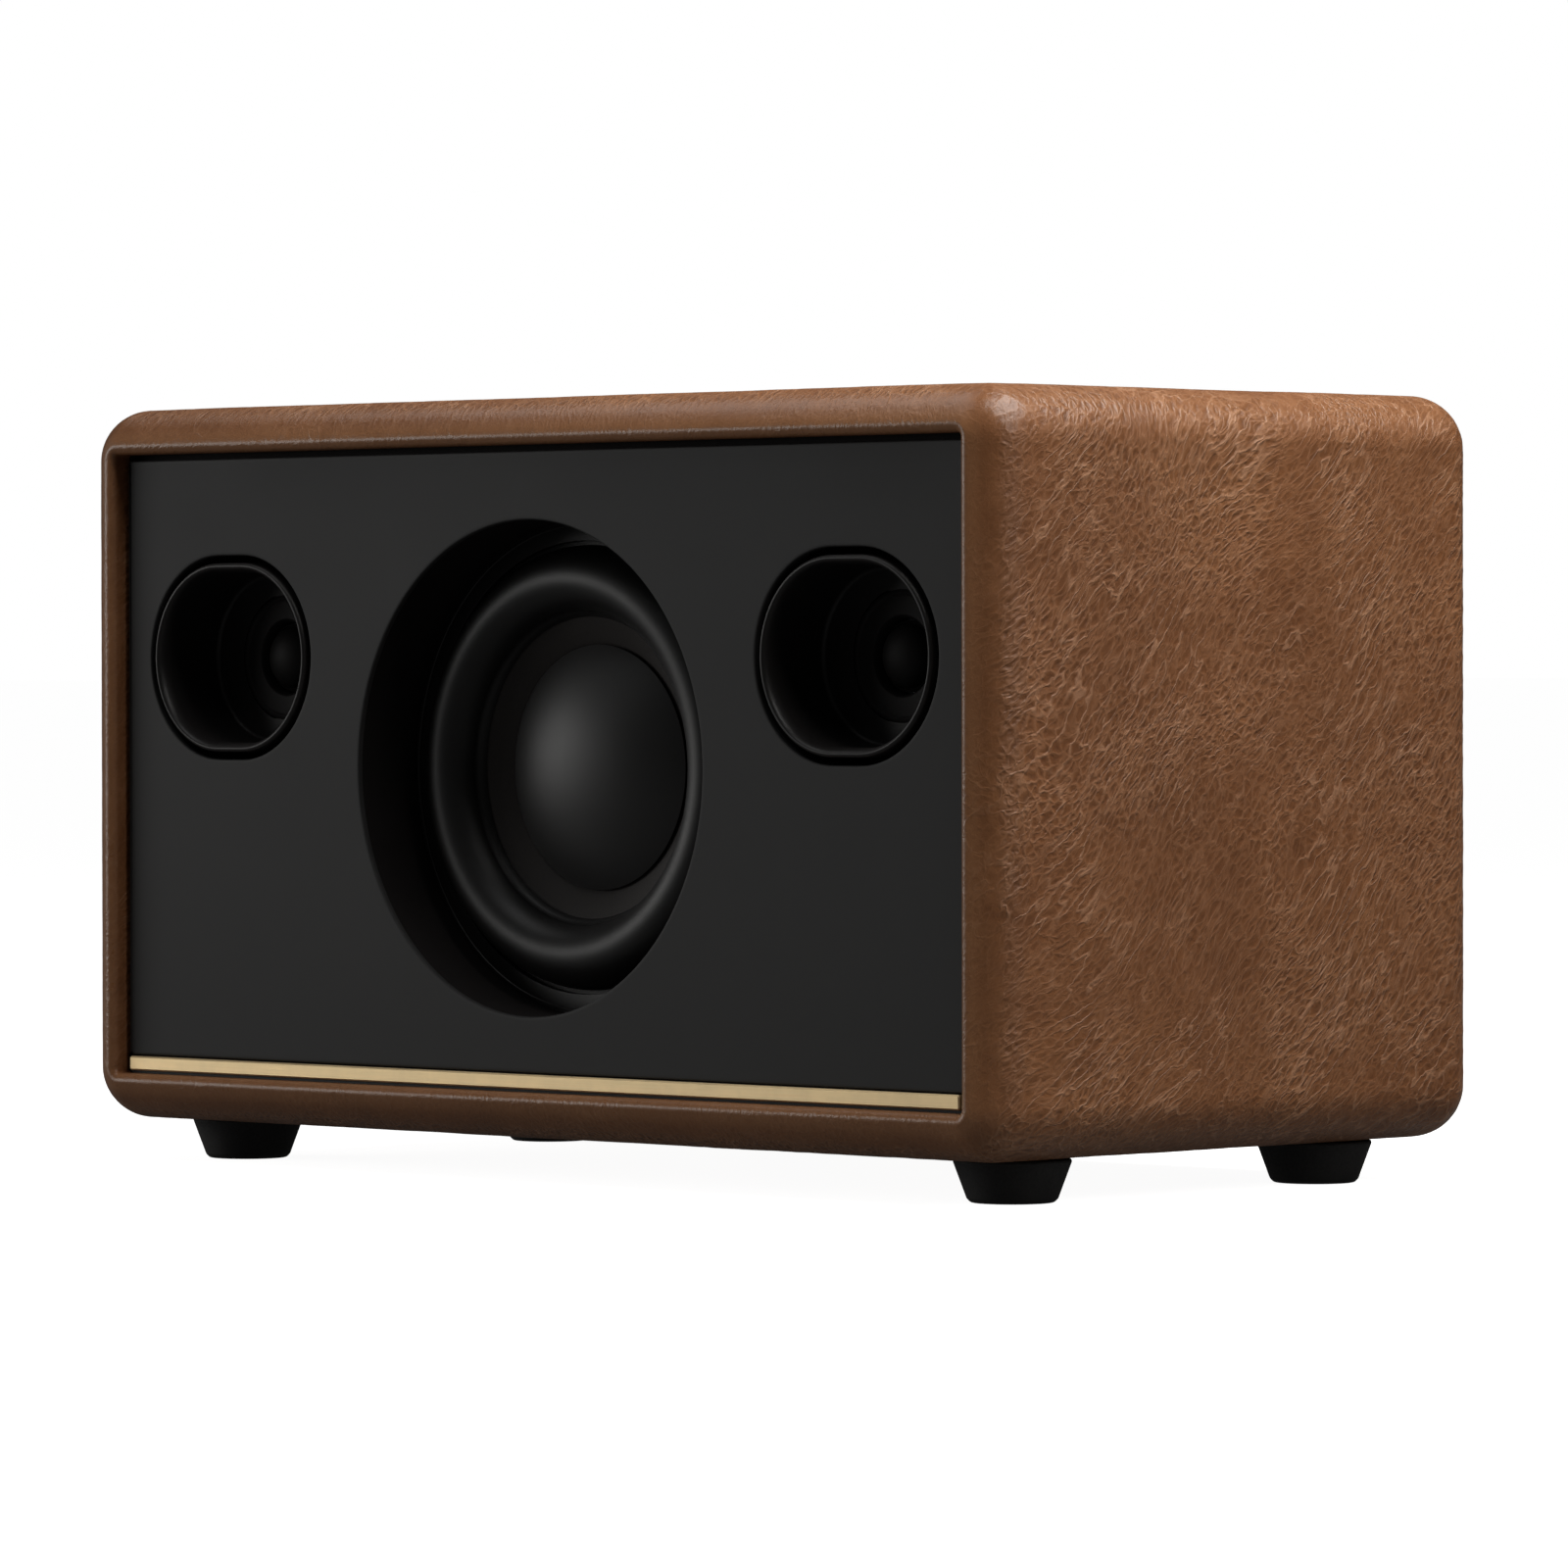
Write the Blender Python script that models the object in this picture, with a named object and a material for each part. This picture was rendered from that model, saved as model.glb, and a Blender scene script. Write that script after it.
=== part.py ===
"""Leather-covered portable radio.

An amplifier-style box: a wooden sleeve wrapped in brown leather, a black
recessed front baffle with one woofer and two obround tweeter horns, a brass
strip, four rubber feet, a control well sunk in the rear half of the top, and a
rear panel with a reflex port, a power inlet and an audio socket.

Frame: +Z up, the front faces -Y, the origin is the centre of the bounding
box's bottom, so the feet stand on Z = 0. All sizes below are in millimetres
and become metres in the meshes.
"""

import math

import bmesh
import bpy
from mathutils import Matrix, Vector

for old in list(bpy.data.objects):
    bpy.data.objects.remove(old, do_unlink=True)

MM = 0.001

# ---------------------------------------------------------------- dimensions
WIDTH = 260.0  # outer width of the leather box
DEPTH = 142.0  # between the front and rear tangent planes of its rounded edges
FOOT_H = 8.6
BOX_H = 146.6
EDGE_R = 10.7  # rounded outer edges
RIM = 9.5  # width of the rim round the front and rear openings
LIP_R = 1.7  # rounding from the rim into the recess
LEATHER = 1.2
WALL = 6.3  # wooden wall
GAP = 0.3  # clearance between touching pieces

Z0 = FOOT_H
Z1 = FOOT_H + BOX_H
ZC = 0.5 * (Z0 + Z1)

BAFFLE_FRONT = -67.0
BAFFLE_SEAT = -65.2  # step round the baffle's edge, behind the leather lining
BAFFLE_REAR = -51.6
SHADOW_GAP = 1.2  # between the lining and the baffle's raised face
REAR_FACE = 66.6
REAR_T = 4.0

WOOFER_HOLE_R = 49.0
TWEETER_X = 87.8
TWEETER_Z = 103.9
HORN_HOLE = (48.7, 41.6)
HORN_LIP = (46.0, 38.6)
HORN_BORE = (42.3, 34.8)

STRIP_Z = (18.7, 21.6)
STRIP_HALF = 118.3

WELL_Y = 33.0  # centre line of the control well
WELL_INNER = (74.0, 21.0)
WELL_WALL = 1.6
WELL_FLOOR = 141.5
PLATE_Z = (141.8, 142.8)
KNOB_X = (-26.0, 6.0, 38.0)
KNOB_R = 11.0
KNOB_Z = (143.9, 153.8)
BUTTON_AT = ((61.0, 25.5), (61.0, 40.5))
LEVER_X = -52.0
LEVER_PIVOT_Z = 141.0
LEVER_TILT = 14.0  # degrees either side of upright
LENS_X = -66.0

PORT_AT = (-78.0, 62.0)
INLET_AT = (88.0, 44.0)
AUX_AT = (88.0, 72.0)
REAR_SCREWS = ((-115.5, ZC - 58.6), (115.5, ZC - 58.6), (-115.5, ZC + 58.6), (115.5, ZC + 58.6))
WOOFER_SCREW_R = 54.2

FOOT_AT = ((-109.0, -43.5), (109.0, -43.5), (-109.0, 43.5), (109.0, 43.5))


# ------------------------------------------------------------------- helpers
def material(name, colour, rough, metal=0.0):
    m = bpy.data.materials.new(name)
    m.use_nodes = True
    b = m.node_tree.nodes["Principled BSDF"]
    b.inputs["Base Color"].default_value = (*colour, 1.0)
    b.inputs["Roughness"].default_value = rough
    b.inputs["Metallic"].default_value = metal
    m.diffuse_color = (*colour, 1.0)
    return m


def piece(name, verts, faces, colour, rough=0.5, metal=0.0, origin=(0, 0, 0), smooth=True):
    """One named object from vertices in millimetres, its origin where asked."""
    o = Vector(origin)
    me = bpy.data.meshes.new(name)
    me.from_pydata([(Vector(v) - o) * MM for v in verts], [], faces)
    bm = bmesh.new()
    bm.from_mesh(me)
    bmesh.ops.recalc_face_normals(bm, faces=bm.faces)
    bm.to_mesh(me)
    bm.free()
    ob = bpy.data.objects.new(name, me)
    bpy.context.scene.collection.objects.link(ob)
    ob.location = o * MM
    if colour is not None:
        me.materials.append(material(name, colour, rough, metal))
    if smooth:
        me.shade_smooth()
        me.set_sharp_from_angle(angle=math.radians(35))
    return ob


def loft(rings, closed=False):
    """Vertices and faces through equal rings of points. A ring of one point is
    a pole. closed joins the last ring to the first, else both ends are capped."""
    verts, start = [], []
    for r in rings:
        start.append(len(verts))
        verts.extend(r)
    faces = []
    pairs = [(i, i + 1) for i in range(len(rings) - 1)]
    if closed:
        pairs.append((len(rings) - 1, 0))
    for a, b in pairs:
        na, nb = len(rings[a]), len(rings[b])
        n = max(na, nb)
        for k in range(n):
            j = (k + 1) % n
            pa, pa2 = start[a] + (k if na > 1 else 0), start[a] + (j if na > 1 else 0)
            pb, pb2 = start[b] + (k if nb > 1 else 0), start[b] + (j if nb > 1 else 0)
            f = []
            for p in (pa, pa2, pb2, pb):
                if p not in f:
                    f.append(p)
            faces.append(f)
    if not closed:
        for i in (0, len(rings) - 1):
            if len(rings[i]) > 2:
                faces.append([start[i] + k for k in range(len(rings[i]))])
    return verts, faces


def circle(r, n, turn=0.0):
    return [
        (r * math.cos(2 * math.pi * k / n + turn), r * math.sin(2 * math.pi * k / n + turn))
        for k in range(n)
    ]


def round_rect(hx, hy, r, n=3):
    """A rectangle with rounded corners, 4 * (n + 1) points."""
    out = []
    for q, (sx, sy) in enumerate(((1, 1), (-1, 1), (-1, -1), (1, -1))):
        for k in range(n + 1):
            a = math.pi / 2 * (q + k / n)
            out.append((sx * (hx - r) + r * math.cos(a), sy * (hy - r) + r * math.sin(a)))
    return out


def obround(w, h, n=8):
    """A rectangle with half-round ends, 2 * (n + 1) points."""
    r, s = h / 2, (w - h) / 2
    out = []
    for side, a0 in ((1, -math.pi / 2), (-1, math.pi / 2)):
        for k in range(n + 1):
            a = a0 + math.pi * k / n
            out.append((side * s + r * math.cos(a), r * math.sin(a)))
    return out


def at_y(points, y, cx=0.0, cz=0.0):
    return [(cx + u, y, cz + v) for u, v in points]


def at_z(points, z, cx=0.0, cy=0.0):
    return [(cx + u, cy + v, z) for u, v in points]


def at_x(points, x, cy=0.0, cz=0.0):
    return [(x, cy + u, cz + v) for u, v in points]


PLANES = {"X": at_x, "Y": at_y, "Z": at_z}


def turned(name, profile, axis, centre, n, *look, **more):
    """A solid of revolution from (radius, height along axis) points. It is a
    closed ring unless the profile starts and ends on the axis."""
    on = PLANES[axis]
    rings = [
        on([(0.0, 0.0)] if r == 0 else circle(r, n), h, *centre) for r, h in profile
    ]
    return piece(name, *loft(rings, closed=profile[0][0] != 0), *look, **more)


def prism(name, outline, h0, h1, axis, centre, *look, **more):
    on = PLANES[axis]
    return piece(name, *loft([on(outline, h0, *centre), on(outline, h1, *centre)]), *look, **more)


def box(name, x, y, z, *look, **more):
    outline = [(x[1], y[1]), (x[0], y[1]), (x[0], y[0]), (x[1], y[0])]
    more.setdefault("smooth", False)
    return piece(name, *loft([at_z(outline, z[0]), at_z(outline, z[1])]), *look, **more)


def guide(ob):
    """A shape used only to cut or to add to another."""
    ob.hide_render = True
    ob.display_type = "WIRE"
    return ob


def boolean(ob, other, how):
    m = ob.modifiers.new(how.title(), "BOOLEAN")
    m.operation = how
    m.solver = "EXACT"
    m.object = guide(other)
    return ob


def cut(ob, *others):
    for o in others:
        boolean(ob, o, "DIFFERENCE")
    return ob


def add(ob, *others):
    for o in others:
        boolean(ob, o, "UNION")
    return ob


def soften(ob, width, segments=1, limit=40.0):
    m = ob.modifiers.new("Bevel", "BEVEL")
    m.width = width * MM
    m.segments = segments
    m.limit_method = "ANGLE"
    m.angle_limit = math.radians(limit)
    return ob


# ------------------------------------------------- leather sleeve and cabinet
C1 = (EDGE_R, -DEPTH / 2 + EDGE_R)  # centre of the outer edge's round
C2_I = RIM - LIP_R
C2 = (C2_I, C1[1] - math.sqrt((EDGE_R - LIP_R) ** 2 - (EDGE_R - C2_I) ** 2))
MEET = math.atan2(C1[1] - C2[1], C1[0] - C2[0])  # where the two rounds meet


def rim_section(off, n_lip=2, n_edge=4):
    """(inset, y, corner radius) from the recess wall over the rim to the side,
    for a surface lying off below the leather's outer face."""
    out = []
    for k in range(n_lip):
        a = math.pi + (MEET - math.pi) * k / n_lip
        r = LIP_R - off
        t = k / n_lip
        out.append((C2[0] - r * math.cos(a), C2[1] - r * math.sin(a), 0.5 + t * (EDGE_R - C2_I - 0.5)))
    for k in range(n_edge + 1):
        a = MEET * (1 - k / n_edge)
        r = EDGE_R - off
        i = C1[0] - r * math.cos(a)
        out.append((i, C1[1] - r * math.sin(a), EDGE_R - i))
    return out


def sleeve_rings(section, n=3):
    return [
        at_y(round_rect(WIDTH / 2 - i, BOX_H / 2 - i, rc, n), y, 0.0, ZC) for i, y, rc in section
    ]


def both_ends(front):
    """A front half section and its mirror at the rear, side to side."""
    return front + [(i, -y, rc) for i, y, rc in reversed(front)]


LINING_I = RIM - LEATHER  # hidden face of the leather that lines the recess
lining_front = BAFFLE_SEAT - GAP
lining_rear = REAR_FACE + GAP
outer = [(RIM, lining_front, 0.5)] + both_ends(rim_section(0.0)) + [(RIM, lining_rear, 0.5)]
inner = [(LINING_I, lining_front, 0.5)] + both_ends(rim_section(LEATHER)) + [(LINING_I, lining_rear, 0.5)]
leather = piece(
    "leather_cover",
    *loft(sleeve_rings(outer + list(reversed(inner))), closed=True),
    (0.16, 0.075, 0.035),
    0.42,
)
cabinet = piece(
    "cabinet",
    *loft(sleeve_rings(both_ends(rim_section(LEATHER + GAP))), closed=True),
    (0.48, 0.34, 0.2),
    0.8,
)

INNER_I = RIM - LEATHER - GAP  # inset of the wooden wall's inner face
INNER_X = WIDTH / 2 - INNER_I
INNER_Z0 = Z0 + INNER_I
INNER_Z1 = Z1 - INNER_I
# glued corner posts that the rear panel is screwed to
for k, (sx, sz) in enumerate(((-1, -1), (1, -1), (-1, 1), (1, 1))):
    x = sorted((sx * (INNER_X - 12.7), sx * (INNER_X + 1.0)))
    z = sorted((ZC + sz * (BOX_H / 2 - INNER_I - 12.7), ZC + sz * (BOX_H / 2 - INNER_I + 1.0)))
    add(cabinet, box(f"post_{k}", x, (44.0, REAR_FACE - REAR_T - GAP), z, None))
for k, at in enumerate(REAR_SCREWS):
    cut(cabinet, turned(f"pilot_{k}", [(0, 52.0), (1.9, 52.0), (1.9, 70.0), (0, 70.0)], "Y", at, 8, None))

wx, wy = WELL_INNER[0] + WELL_WALL + GAP, WELL_INNER[1] + WELL_WALL + GAP
for ob in (leather, cabinet):
    cut(ob, prism(f"well_cut_{ob.name}", round_rect(wx, wy, 5.9, 2), 135.0, 170.0, "Z", (0.0, WELL_Y), None))

# ------------------------------------------------------------- front baffle
HALF_X = INNER_X - GAP
HALF_Z = BOX_H / 2 - INNER_I - GAP
baffle = prism(
    "front_baffle", round_rect(HALF_X, HALF_Z, 0.4, 1), BAFFLE_SEAT, BAFFLE_REAR, "Y", (0.0, ZC), (0.03, 0.03, 0.03), 0.45
)
raised = round_rect(WIDTH / 2 - RIM - SHADOW_GAP, BOX_H / 2 - RIM - SHADOW_GAP, 0.4, 1)
add(baffle, prism("baffle_face", raised, BAFFLE_FRONT, BAFFLE_SEAT + 1.0, "Y", (0.0, ZC), None))
cut(baffle, prism("woofer_hole", circle(WOOFER_HOLE_R, 32), -80.0, -40.0, "Y", (0.0, ZC), None))
for side in (-1, 1):
    cut(
        baffle,
        prism(f"horn_hole_{side}", obround(*HORN_HOLE), -80.0, -40.0, "Y", (side * TWEETER_X, TWEETER_Z), None),
    )
# shallow groove that seats the brass strip
cut(
    baffle,
    box(
        "strip_groove",
        (-STRIP_HALF - GAP, STRIP_HALF + GAP),
        (-80.0, BAFFLE_FRONT + 1.0),
        (STRIP_Z[0] - GAP, STRIP_Z[1] + GAP),
        None,
    ),
)
soften(
    box(
        "brass_strip",
        (-STRIP_HALF, STRIP_HALF),
        (BAFFLE_FRONT - 1.0, BAFFLE_FRONT + 1.0 - GAP),
        STRIP_Z,
        (0.55, 0.42, 0.22),
        0.3,
        1.0,
    ),
    0.3,
)

# ----------------------------------------------------------------- tweeters
for side, word in ((-1, "left"), (1, "right")):
    c = (side * TWEETER_X, TWEETER_Z)
    fl = BAFFLE_REAR + GAP  # front face of the flange behind the baffle
    rings = [
        at_y(obround(w, h), y, *c)
        for w, h, y in (
            (HORN_BORE[0] - 1.6, HORN_BORE[1] - 1.6, fl - 0.2),
            (HORN_BORE[0], HORN_BORE[1], fl - 2.0),
            (HORN_BORE[0], HORN_BORE[1], BAFFLE_FRONT + 0.6),
            (HORN_BORE[0] + 1.2, HORN_BORE[1] + 1.2, BAFFLE_FRONT - 0.4),
            (HORN_LIP[0] - 0.6, HORN_LIP[1] - 0.6, BAFFLE_FRONT - 0.4),
            (HORN_LIP[0], HORN_LIP[1], BAFFLE_FRONT + 0.4),
            (HORN_LIP[0], HORN_LIP[1], fl),
            (HORN_HOLE[0] + 6.0, HORN_HOLE[1] + 6.0, fl),
            (HORN_HOLE[0] + 6.0, HORN_HOLE[1] + 6.0, fl + 2.0),
        )
    ]
    horn = piece(f"waveguide_{word}", *loft(rings), (0.01, 0.01, 0.01), 0.25)
    cut(horn, prism(f"horn_throat_{word}", circle(13.2, 20), -60.0, -40.0, "Y", c, None))
    turned(
        f"tweeter_plate_{word}",
        [(7.4, -50.9), (8.4, -51.4), (12.2, -51.4), (12.8, -50.9), (12.8, -48.7), (16.5, -48.7), (16.5, -47.2), (7.4, -47.2)],
        "Y", c, 20, (0.012, 0.012, 0.012), 0.3,
    )
    # dome with its voice coil former, moving as one
    turned(
        f"tweeter_dome_{word}",
        [
            (0, -53.2), (3.6, -52.3), (6.5, -49.6), (6.9, -49.2), (6.9, -48.6),
            (6.2, -48.6), (6.2, -44.6), (5.7, -44.6), (5.7, -49.3), (3.3, -51.6), (0, -52.6),
        ],
        "Y", c, 16, (0.02, 0.02, 0.022), 0.35, origin=(c[0], -48.6, c[1]),
    )
    turned(
        f"tweeter_magnet_{word}",
        [(0, -46.4), (5.0, -46.4), (5.0, -43.4), (6.9, -43.4), (6.9, -46.9), (12.5, -46.9), (12.5, -35.5), (0, -35.5)],
        "Y", c, 16, (0.35, 0.35, 0.36), 0.35, 1.0,
    )

# ------------------------------------------------------------------- woofer
WC = (0.0, ZC)
turned("woofer_gasket", [(45.2, -51.3), (51.6, -51.3), (51.6, -50.1), (45.2, -50.1)], "Y", WC, 28, (0.02, 0.02, 0.02), 0.6)


def roll(y_in, y_out, height, r_in, r_out, thick, n=4):
    """Half-roll surround: the front face outwards, then the back face inwards."""
    mid, half = 0.5 * (r_in + r_out), 0.5 * (r_out - r_in)
    front, back = [], []
    for k in range(n + 1):
        a = math.pi * k / n
        y = y_in + (y_out - y_in) * k / n
        front.append((mid - half * math.cos(a), y - height * math.sin(a)))
        back.append((mid - (half - thick) * math.cos(a), y + thick - height * math.sin(a)))
    return front, back


f, b = roll(-51.3, -49.8, 6.4, 31.2, 44.2, 0.6)
turned(
    "woofer_surround",
    [(28.6, -50.0)] + f + [(50.6, -49.8), (50.6, -49.2)] + list(reversed(b)) + [(28.9, -49.4)],
    "Y", WC, 28, (0.012, 0.012, 0.013), 0.4,
)
# cone: its front edge is glued behind the surround's inner flange
turned(
    "woofer_cone",
    [(30.9, -49.7), (24.6, -46.4), (13.2, -40.4), (13.2, -39.6), (24.9, -45.6), (31.2, -48.9)],
    "Y", WC, 24, (0.015, 0.015, 0.016), 0.45, origin=(0, -38.0, ZC),
)


def dome(rim_r, y_rim, height, thick, n=3):
    """A thin spherical cap, front face from its top to its rim and back."""
    big = (rim_r ** 2 + height ** 2) / (2 * height)
    spread = math.asin(rim_r / big)
    front = [(big * math.sin(spread * k / n), y_rim - height + big * (1 - math.cos(spread * k / n))) for k in range(n + 1)]
    front[0] = (0, y_rim - height)
    back = [(max(0, r - (0.4 if k == n else 0)), y + thick) for k, (r, y) in enumerate(front)]
    return front + list(reversed(back))


turned(
    "woofer_dust_cap", dome(24.4, -47.1, 7.6, 0.5), "Y", WC, 24, (0.014, 0.014, 0.015), 0.35, origin=(0, -38.0, ZC)
)
turned("voice_coil", [(12.3, -42.1), (12.9, -42.1), (12.9, -14.6), (12.3, -14.6)], "Y", WC, 20, (0.6, 0.32, 0.16), 0.4, 0.6, origin=(0, -38.0, ZC))

wave = [(13.3 + 15.2 * k / 5, -27.2 + (0.9 if k % 2 else -0.9) * (0 < k < 5)) for k in range(6)]
turned(
    "woofer_spider", wave + [(r, y + 0.6) for r, y in reversed(wave)], "Y", WC, 20, (0.5, 0.38, 0.16), 0.85
)
basket = turned(
    "woofer_basket",
    [
        (45.4, -48.9), (57.0, -48.9), (57.0, -46.9), (46.6, -46.9), (38.0, -19.0), (38.0, -17.0), (14.2, -17.0),
        (14.2, -19.0), (25.6, -19.0), (25.6, -25.3), (31.0, -25.3), (31.0, -24.0), (27.2, -24.0), (27.2, -19.0), (36.4, -19.0), (45.0, -46.9),
    ],
    "Y", WC, 24, (0.02, 0.02, 0.02), 0.5,
)
for k in range(4):
    a = math.radians(90 * k)
    # window between two of the four legs
    cx, cz = 44.0 * math.cos(a), 44.0 * math.sin(a)
    w = [
        (cx + u * math.cos(a) - v * math.sin(a), cz + u * math.sin(a) + v * math.cos(a))
        for u, v in round_rect(12.0, 21.0, 4.0, 1)
    ]
    cut(basket, prism(f"basket_window_{k}", w, -43.0, -23.0, "Y", WC, None))
turned("woofer_top_plate", [(13.9, -16.7), (34.0, -16.7), (34.0, -12.2), (13.9, -12.2)], "Y", WC, 20, (0.3, 0.3, 0.31), 0.4, 1.0)
turned("woofer_magnet", [(18.5, -11.9), (36.0, -11.9), (36.0, -0.9), (18.5, -0.9)], "Y", WC, 20, (0.05, 0.05, 0.055), 0.6)
turned(
    "woofer_yoke",
    [(0, -17.2), (11.5, -17.2), (11.5, -0.6), (33.0, -0.6), (34.0, 0.4), (34.0, 4.4), (0, 4.4)],
    "Y", WC, 20, (0.3, 0.3, 0.31), 0.4, 1.0,
)


def screw(name, at, y_head, y_tip, toward, head_r=3.4, shank_r=1.5):
    """Pan-head screw along Y. toward is -1 when the head looks to -Y."""
    s = toward
    ob = turned(
        name,
        [
            (0, y_head + s * 2.0), (head_r * 0.8, y_head + s * 1.8), (head_r, y_head + s * 0.8), (head_r, y_head),
            (shank_r, y_head), (shank_r, y_tip + s * 1.2), (0, y_tip),
        ],
        "Y", at, 8, (0.12, 0.12, 0.13), 0.35, 1.0,
    )
    slot = box(
        f"{name}_slot",
        (at[0] - head_r * 0.62, at[0] + head_r * 0.62),
        sorted((y_head + s * 1.0, y_head + s * 3.0)),
        (at[1] - 0.45, at[1] + 0.45),
        None,
    )
    return cut(ob, slot)


for k in range(4):
    a = math.radians(45 + 90 * k)
    at = (WOOFER_SCREW_R * math.cos(a), ZC + WOOFER_SCREW_R * math.sin(a))
    hole = [(0, -58.0), (1.8, -58.0), (1.8, -40.0), (0, -40.0)]
    cut(basket, turned(f"basket_hole_{k}", hole, "Y", at, 8, None))
    cut(baffle, turned(f"baffle_pilot_{k}", hole, "Y", at, 8, None))
    screw(f"woofer_screw_{k + 1}", at, -46.6, -57.6, 1, head_r=2.5)

# --------------------------------------------------------------- rear panel
rear = prism(
    "rear_panel", round_rect(HALF_X, HALF_Z, 0.4, 1), REAR_FACE - REAR_T, REAR_FACE, "Y", (0.0, ZC), (0.025, 0.025, 0.025), 0.6
)
cut(
    rear,
    prism("port_hole", circle(18.4, 20), 50.0, 80.0, "Y", PORT_AT, None),
    prism("inlet_hole", round_rect(10.3, 6.3, 1.0, 1), 50.0, 80.0, "Y", INLET_AT, None),
    prism("aux_hole", circle(4.4, 12), 50.0, 80.0, "Y", AUX_AT, None),
)
for k, at in enumerate(REAR_SCREWS):
    cut(rear, prism(f"rear_hole_{k}", circle(1.9, 8), 50.0, 80.0, "Y", at, None))
    screw(f"rear_screw_{k + 1}", at, REAR_FACE + GAP, 53.0, 1)

turned(
    "port_tube",
    [
        (16.0, 10.0), (16.0, 58.0), (17.2, 64.0), (20.2, 67.6), (23.0, 68.2), (23.6, REAR_FACE + GAP),
        (18.0, REAR_FACE + GAP), (18.0, 10.0),
    ],
    "Y", PORT_AT, 20, (0.015, 0.015, 0.015), 0.5,
)

inlet = piece(
    "power_inlet",
    *loft(
        [
            at_y(round_rect(hx, hz, r, 2), y, *INLET_AT)
            for hx, hz, r, y in (
                (10.0, 6.0, 0.8, 50.0),
                (10.0, 6.0, 0.8, REAR_FACE + GAP),
                (13.0, 8.8, 2.0, REAR_FACE + GAP),
                (13.0, 8.8, 2.0, 67.9),
                (12.5, 8.3, 1.8, 68.4),
            )
        ]
    ),
    (0.012, 0.012, 0.012),
    0.4,
)
pocket = prism("inlet_pocket", round_rect(8.0, 3.9, 1.5, 2), 55.0, 80.0, "Y", INLET_AT, None)
for s in (-1, 1):
    pin = prism(f"inlet_pin_{s}", circle(1.1, 8), 50.0, 66.0, "Y", (INLET_AT[0] + s * 4.3, INLET_AT[1]), None)
    cut(pocket, pin)
cut(inlet, pocket)

turned(
    "aux_socket",
    [
        (1.8, 68.2), (4.6, 68.2), (5.4, 67.6), (5.4, REAR_FACE + GAP), (4.0, REAR_FACE + GAP), (4.0, 60.0),
        (5.2, 60.0), (5.2, 50.0), (1.8, 50.0),
    ],
    "Y", AUX_AT, 12, (0.4, 0.33, 0.2), 0.3, 0.8,
)

# ------------------------------------------------------------- control well
ix, iy = WELL_INNER
ox, oy = ix + WELL_WALL, iy + WELL_WALL
top = Z1 + GAP
tray = piece(
    "control_tray",
    *loft(
        [
            at_z(round_rect(hx, hy, r, 2), z, 0.0, WELL_Y)
            for hx, hy, r, z in (
                (ix, iy, 4.0, WELL_FLOOR),
                (ix, iy, 4.0, top + 0.6),
                (ix + 0.4, iy + 0.4, 4.4, top + 1.0),
                (ox + 3.6, oy + 3.6, 8.6, top + 1.0),
                (ox + 4.4, oy + 4.4, 9.4, top + 0.4),
                (ox + 4.4, oy + 4.4, 9.4, top),
                (ox, oy, 5.6, top),
                (ox, oy, 5.6, WELL_FLOOR - WELL_WALL),
            )
        ]
    ),
    (0.03, 0.028, 0.026),
    0.4,
)
plate = prism("control_plate", round_rect(ix - GAP, iy - GAP, 3.7, 2), *PLATE_Z, "Z", (0.0, WELL_Y), (0.55, 0.42, 0.22), 0.3, 1.0)
holes = [(x, WELL_Y, 4.4) for x in KNOB_X] + [(x, y, 4.1) for x, y in BUTTON_AT] + [(LEVER_X, WELL_Y, 4.4), (LENS_X, WELL_Y, 2.4)]
for k, (x, y, r) in enumerate(holes):
    for ob in (tray, plate):
        cut(ob, prism(f"{ob.name}_hole_{k}", circle(r, 10), 130.0, 143.2 if ob is plate else 141.65, "Z", (x, y), None))

BOARD_Z = (129.7, 131.3)
board = box("control_board", (-70.0, 70.0), (WELL_Y - 18.0, WELL_Y + 18.0), BOARD_Z, (0.03, 0.12, 0.05), 0.5)
for k, (x, y) in enumerate(BUTTON_AT):
    add(board, box(f"tact_{k}", (x - 3.0, x + 3.0), (y - 3.0, y + 3.0), (BOARD_Z[1] - 0.4, 133.3), None))

for (x, word, turn) in zip(KNOB_X, ("volume", "tone", "tuning"), (-150.0, 0.0, 0.0)):
    c = (x, WELL_Y)
    turned(
        f"{word}_pot",
        [(0, 131.6), (8.0, 131.6), (8.0, 139.6), (4.0, 139.6), (4.0, 143.4), (3.3, 143.4), (3.3, 133.4), (0, 133.4)],
        "Z", c, 10, (0.3, 0.3, 0.3), 0.4, 0.8,
    )
    turned(
        f"{word}_shaft", [(0, 133.7), (3.0, 133.7), (3.0, 151.0), (0, 151.0)], "Z", c, 10, (0.5, 0.5, 0.5), 0.35, 1.0,
        origin=(x, WELL_Y, 143.9),
    )
    knob = turned(
        f"{word}_knob",
        [
            (0, KNOB_Z[1]), (9.6, KNOB_Z[1]), (10.4, KNOB_Z[1] - 0.7), (KNOB_R, KNOB_Z[0] + 1.0), (KNOB_R, KNOB_Z[0]),
            (7.0, KNOB_Z[0]), (7.0, 145.4), (3.3, 145.4), (3.3, 151.3), (0, 151.3),
        ],
        "Z", c, 20, (0.5, 0.38, 0.2), 0.3, 1.0, origin=(x, WELL_Y, 143.9),
    )
    # pointer groove, towards the front when the knob is at mid travel
    a = math.radians(-90.0 - turn)
    line = [
        (math.cos(a) * u - math.sin(a) * v, math.sin(a) * u + math.cos(a) * v)
        for u, v in ((4.5, -0.5), (12.0, -0.5), (12.0, 0.5), (4.5, 0.5))
    ]
    cut(knob, prism(f"{word}_mark", line, KNOB_Z[1] - 0.7, KNOB_Z[1] + 2.0, "Z", c, None))

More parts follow.
